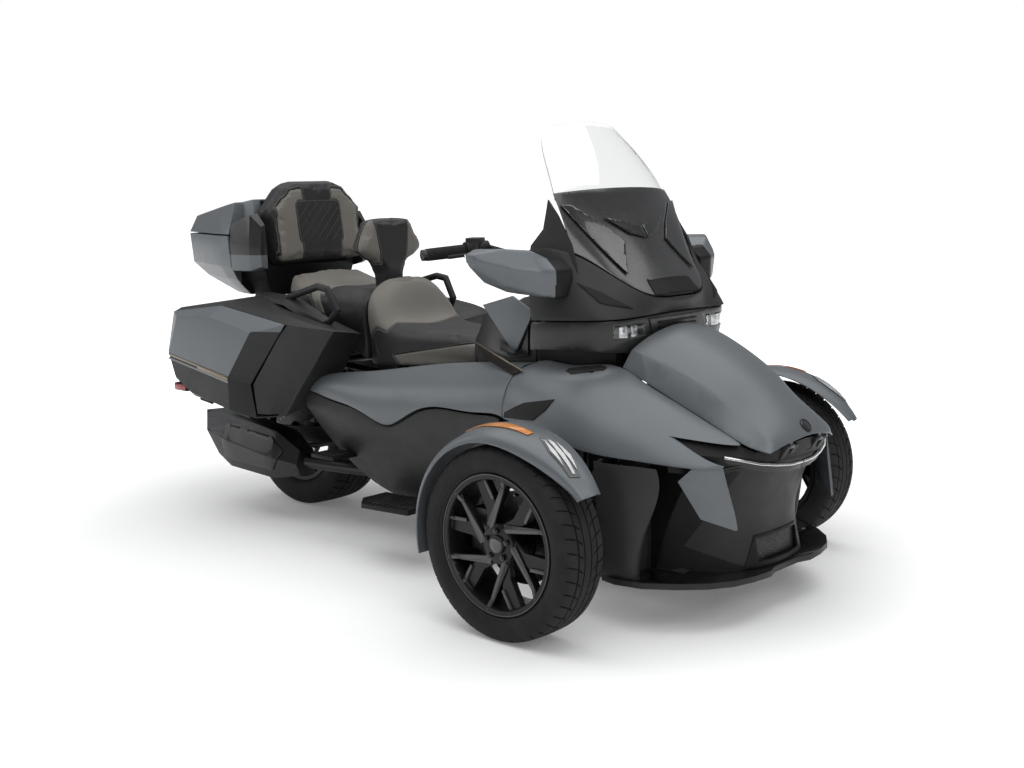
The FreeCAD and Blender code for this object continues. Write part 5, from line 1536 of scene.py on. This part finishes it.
class TRIKE_OT_upholstery(bpy.types.Operator):
    """Pad, seam and stitch the two seats and their backrests"""

    bl_idname = "trike.upholstery"
    bl_label = "Upholstery"

    def execute(self, context):
        sizes = context.scene.trike_sizes

        def rider_keep(vert):
            ahead = any(f.calc_center_median().x * 1000 > SEAT_SPLIT for f in vert.link_faces)
            return ahead and vert.co.x * 1000 > SEAT_SPLIT + 0.1

        def pillion_keep(vert):
            return vert.co.x * 1000 < SEAT_SPLIT + 0.1

        def whole_node(vert):
            return True

        def rider_still(spot):
            return smooth((spot.x - SEAT_SPLIT - 6) / 40) * smooth((spot.z - 640) / 40)

        def pillion_still(spot):
            base = 640 + max(0.0, SEAT_SPLIT - spot.x) * 0.5
            return smooth((SEAT_SPLIT - spot.x - 6) / 40) * smooth((spot.z - base) / 60)

        def rest_still(spot):
            return smooth((spot.z - 930) / 60)

        def back_still(spot):
            return smooth((spot.x + 840) / 30)

        rider = pad_from("seat", "rider_seat_pad", rider_keep, "seat_body", sizes, rider_panel, rider_still)
        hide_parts("seat")
        pad_from("seat", "pillion_pad", pillion_keep, "seat_body", sizes, pillion_panel, pillion_still)
        rest = pad_from("rider_backrest", "rider_rest_pad", whole_node, "seat_body", sizes, rider_rest_panel,
                        rest_still)
        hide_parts("rider_backrest")
        back = pad_from("passenger_backrest", "passenger_rest_pad", whole_node, "chassis", sizes,
                        passenger_rest_panel, back_still, passenger_quilt, "leather_quilted")
        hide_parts("passenger_backrest")
        return {"FINISHED"}


# Stage
# Half the floor's side, and how its own glow grows from under the trike outwards, in metres; the low glow near
# the trike is painted shade round it
FLOOR_REACH = 40.0
GLOW_FROM, GLOW_TO, PAINTED_SHADE_GLOW, GLOW_FULL = 1.4, 4.6, 0.13, 1.0
WHITE = (1.0, 1.0, 1.0, 1.0)
WORLD_LIGHT, WORLD_TINT = 0.26, (0.95, 0.97, 1.0, 1.0)


class TRIKE_OT_stage(bpy.types.Operator):
    """Set the floor, the soft boxes, the world and the camera"""

    bl_idname = "trike.stage"
    bl_label = "Stage"

    def execute(self, context):
        stage = context.scene.trike_stage
        self.floor()
        self.lights(stage)
        self.world()
        self.camera(stage)
        context.scene.view_settings.view_transform = "Standard"
        return {"FINISHED"}

    def floor(self):
        """A pale floor that camera, glossy and transmission rays see as white away from the trike, with painted
        shade near the trike where its own glow is low.
        """
        bm = bmesh.new()
        bmesh.ops.create_grid(bm, x_segments=4, y_segments=4, size=FLOOR_REACH)
        mesh = bpy.data.meshes.new("floor")
        bm.to_mesh(mesh)
        bm.free()
        made = Surface("floor_sheet")
        made.colour(made.blend(made.noise(1.5), (0.88, 0.88, 0.88), (0.90, 0.90, 0.90)))
        made.set(Roughness=0.9, Specular_IOR_Level=0.2)
        reach = made.node("ShaderNodeVectorMath", operation="LENGTH")
        made.link(made.where, reach.inputs[0])
        seen = made.node("ShaderNodeLightPath").outputs
        rays = made.maths("ADD", seen["Is Camera Ray"], seen["Is Glossy Ray"])
        rays = made.maths("ADD", rays, seen["Is Transmission Ray"])
        # Painted shade: the floor's own glow is low under the trike and full far out
        glow = made.remap(reach.outputs["Value"], GLOW_FROM, GLOW_TO, PAINTED_SHADE_GLOW, GLOW_FULL)
        made.link(made.maths("MULTIPLY", glow, made.maths("MINIMUM", rays, 1.0)),
                  made.shader.inputs["Emission Strength"])
        made.shader.inputs["Emission Color"].default_value = WHITE
        mesh.materials.append(made.material)
        floor = bpy.data.objects.new("floor", mesh)
        bpy.context.scene.collection.objects.link(floor)

    def lights(self, stage):
        """Soft boxes: name, place, target, size and power."""
        boxes = (("top_box", (0.0, 0.0, 5.0), (0.0, 0.0, 0.0), (8.0, 8.0), stage.top_power),
                 ("camera_box", (4.2, -1.6, 3.0), (0.4, 0.0, 0.5), (2.5, 2.0), stage.side_power),
                 ("rear_box", (-3.8, -2.8, 2.4), (-0.6, 0.0, 0.7), (2.0, 2.0), stage.side_power * 0.6))
        for name, spot, target, size, power in boxes:
            data = bpy.data.lights.new(name, "AREA")
            data.shape = "RECTANGLE"
            data.size, data.size_y = size
            data.energy = power
            lamp = bpy.data.objects.new(name, data)
            lamp.location = spot
            lamp.rotation_euler = (Vector(target) - Vector(spot)).to_track_quat("-Z", "Y").to_euler()
            bpy.context.scene.collection.objects.link(lamp)

    def world(self):
        """White where the camera sees it, also through glass, and a soft light elsewhere."""
        world = bpy.data.worlds.new("studio")
        world.use_nodes = True
        tree = world.node_tree
        tree.nodes.clear()
        out = tree.nodes.new("ShaderNodeOutputWorld")
        mix = tree.nodes.new("ShaderNodeMixShader")
        seen = tree.nodes.new("ShaderNodeBackground")
        seen.inputs[0].default_value = WHITE
        seen.inputs[1].default_value = 1.0
        lit = tree.nodes.new("ShaderNodeBackground")
        lit.inputs[0].default_value = WORLD_TINT
        lit.inputs[1].default_value = WORLD_LIGHT
        path = tree.nodes.new("ShaderNodeLightPath")
        either = tree.nodes.new("ShaderNodeMath")
        either.operation = "MAXIMUM"
        tree.links.new(path.outputs["Is Camera Ray"], either.inputs[0])
        tree.links.new(path.outputs["Is Transmission Ray"], either.inputs[1])
        tree.links.new(either.outputs[0], mix.inputs[0])
        tree.links.new(lit.outputs[0], mix.inputs[1])
        tree.links.new(seen.outputs[0], mix.inputs[2])
        tree.links.new(mix.outputs[0], out.inputs[0])
        bpy.context.scene.world = world

    def camera(self, stage):
        data = bpy.data.cameras.new("camera")
        data.lens = stage.lens
        data.sensor_width = 36.0
        right, up = Vector(stage.right).normalized(), Vector(stage.up).normalized()
        back = right.cross(up)
        turn = Matrix((right, up, back)).transposed().to_4x4()
        camera = bpy.data.objects.new("camera", data)
        camera.matrix_world = Matrix.Translation(Vector(stage.camera)) @ turn
        bpy.context.scene.collection.objects.link(camera)
        bpy.context.scene.camera = camera


class TRIKE_PT_panel(bpy.types.Panel):
    """The trike's settings and operators"""

    bl_idname = "TRIKE_PT_panel"
    bl_label = "Trike"
    bl_space_type = "VIEW_3D"
    bl_region_type = "UI"
    bl_category = "Trike"

    def draw(self, context):
        for group in (context.scene.trike_looks, context.scene.trike_sizes, context.scene.trike_stage):
            column = self.layout.column()
            for key in group.__annotations__:
                column.prop(group, key)
        for maker in MAKERS:
            self.layout.operator(maker.bl_idname)


GROUPS = {"trike_looks": TrikeLooks, "trike_sizes": TrikeSizes, "trike_stage": TrikeStage}
MAKERS = (TRIKE_OT_tyres, TRIKE_OT_wheels, TRIKE_OT_running_gear, TRIKE_OT_belt, TRIKE_OT_panels, TRIKE_OT_nose,
          TRIKE_OT_lamps, TRIKE_OT_screen, TRIKE_OT_cockpit, TRIKE_OT_exhaust, TRIKE_OT_upholstery,
          TRIKE_OT_stage)


def register():
    for kind in (*GROUPS.values(), *MAKERS, TRIKE_PT_panel):
        bpy.utils.register_class(kind)
    for name, kind in GROUPS.items():
        setattr(bpy.types.Scene, name, PointerProperty(type=kind))


def unregister():
    for name in GROUPS:
        delattr(bpy.types.Scene, name)
    for kind in reversed((*GROUPS.values(), *MAKERS, TRIKE_PT_panel)):
        bpy.utils.unregister_class(kind)


def main():
    register()
    make_materials(bpy.context.scene.trike_looks)
    for maker in MAKERS:
        family, name = maker.bl_idname.split(".")
        result = getattr(getattr(bpy.ops, family), name)()
        if "FINISHED" not in result:
            raise RuntimeError(f"{maker.bl_label} did not finish")


if __name__ == "__main__":
    main()
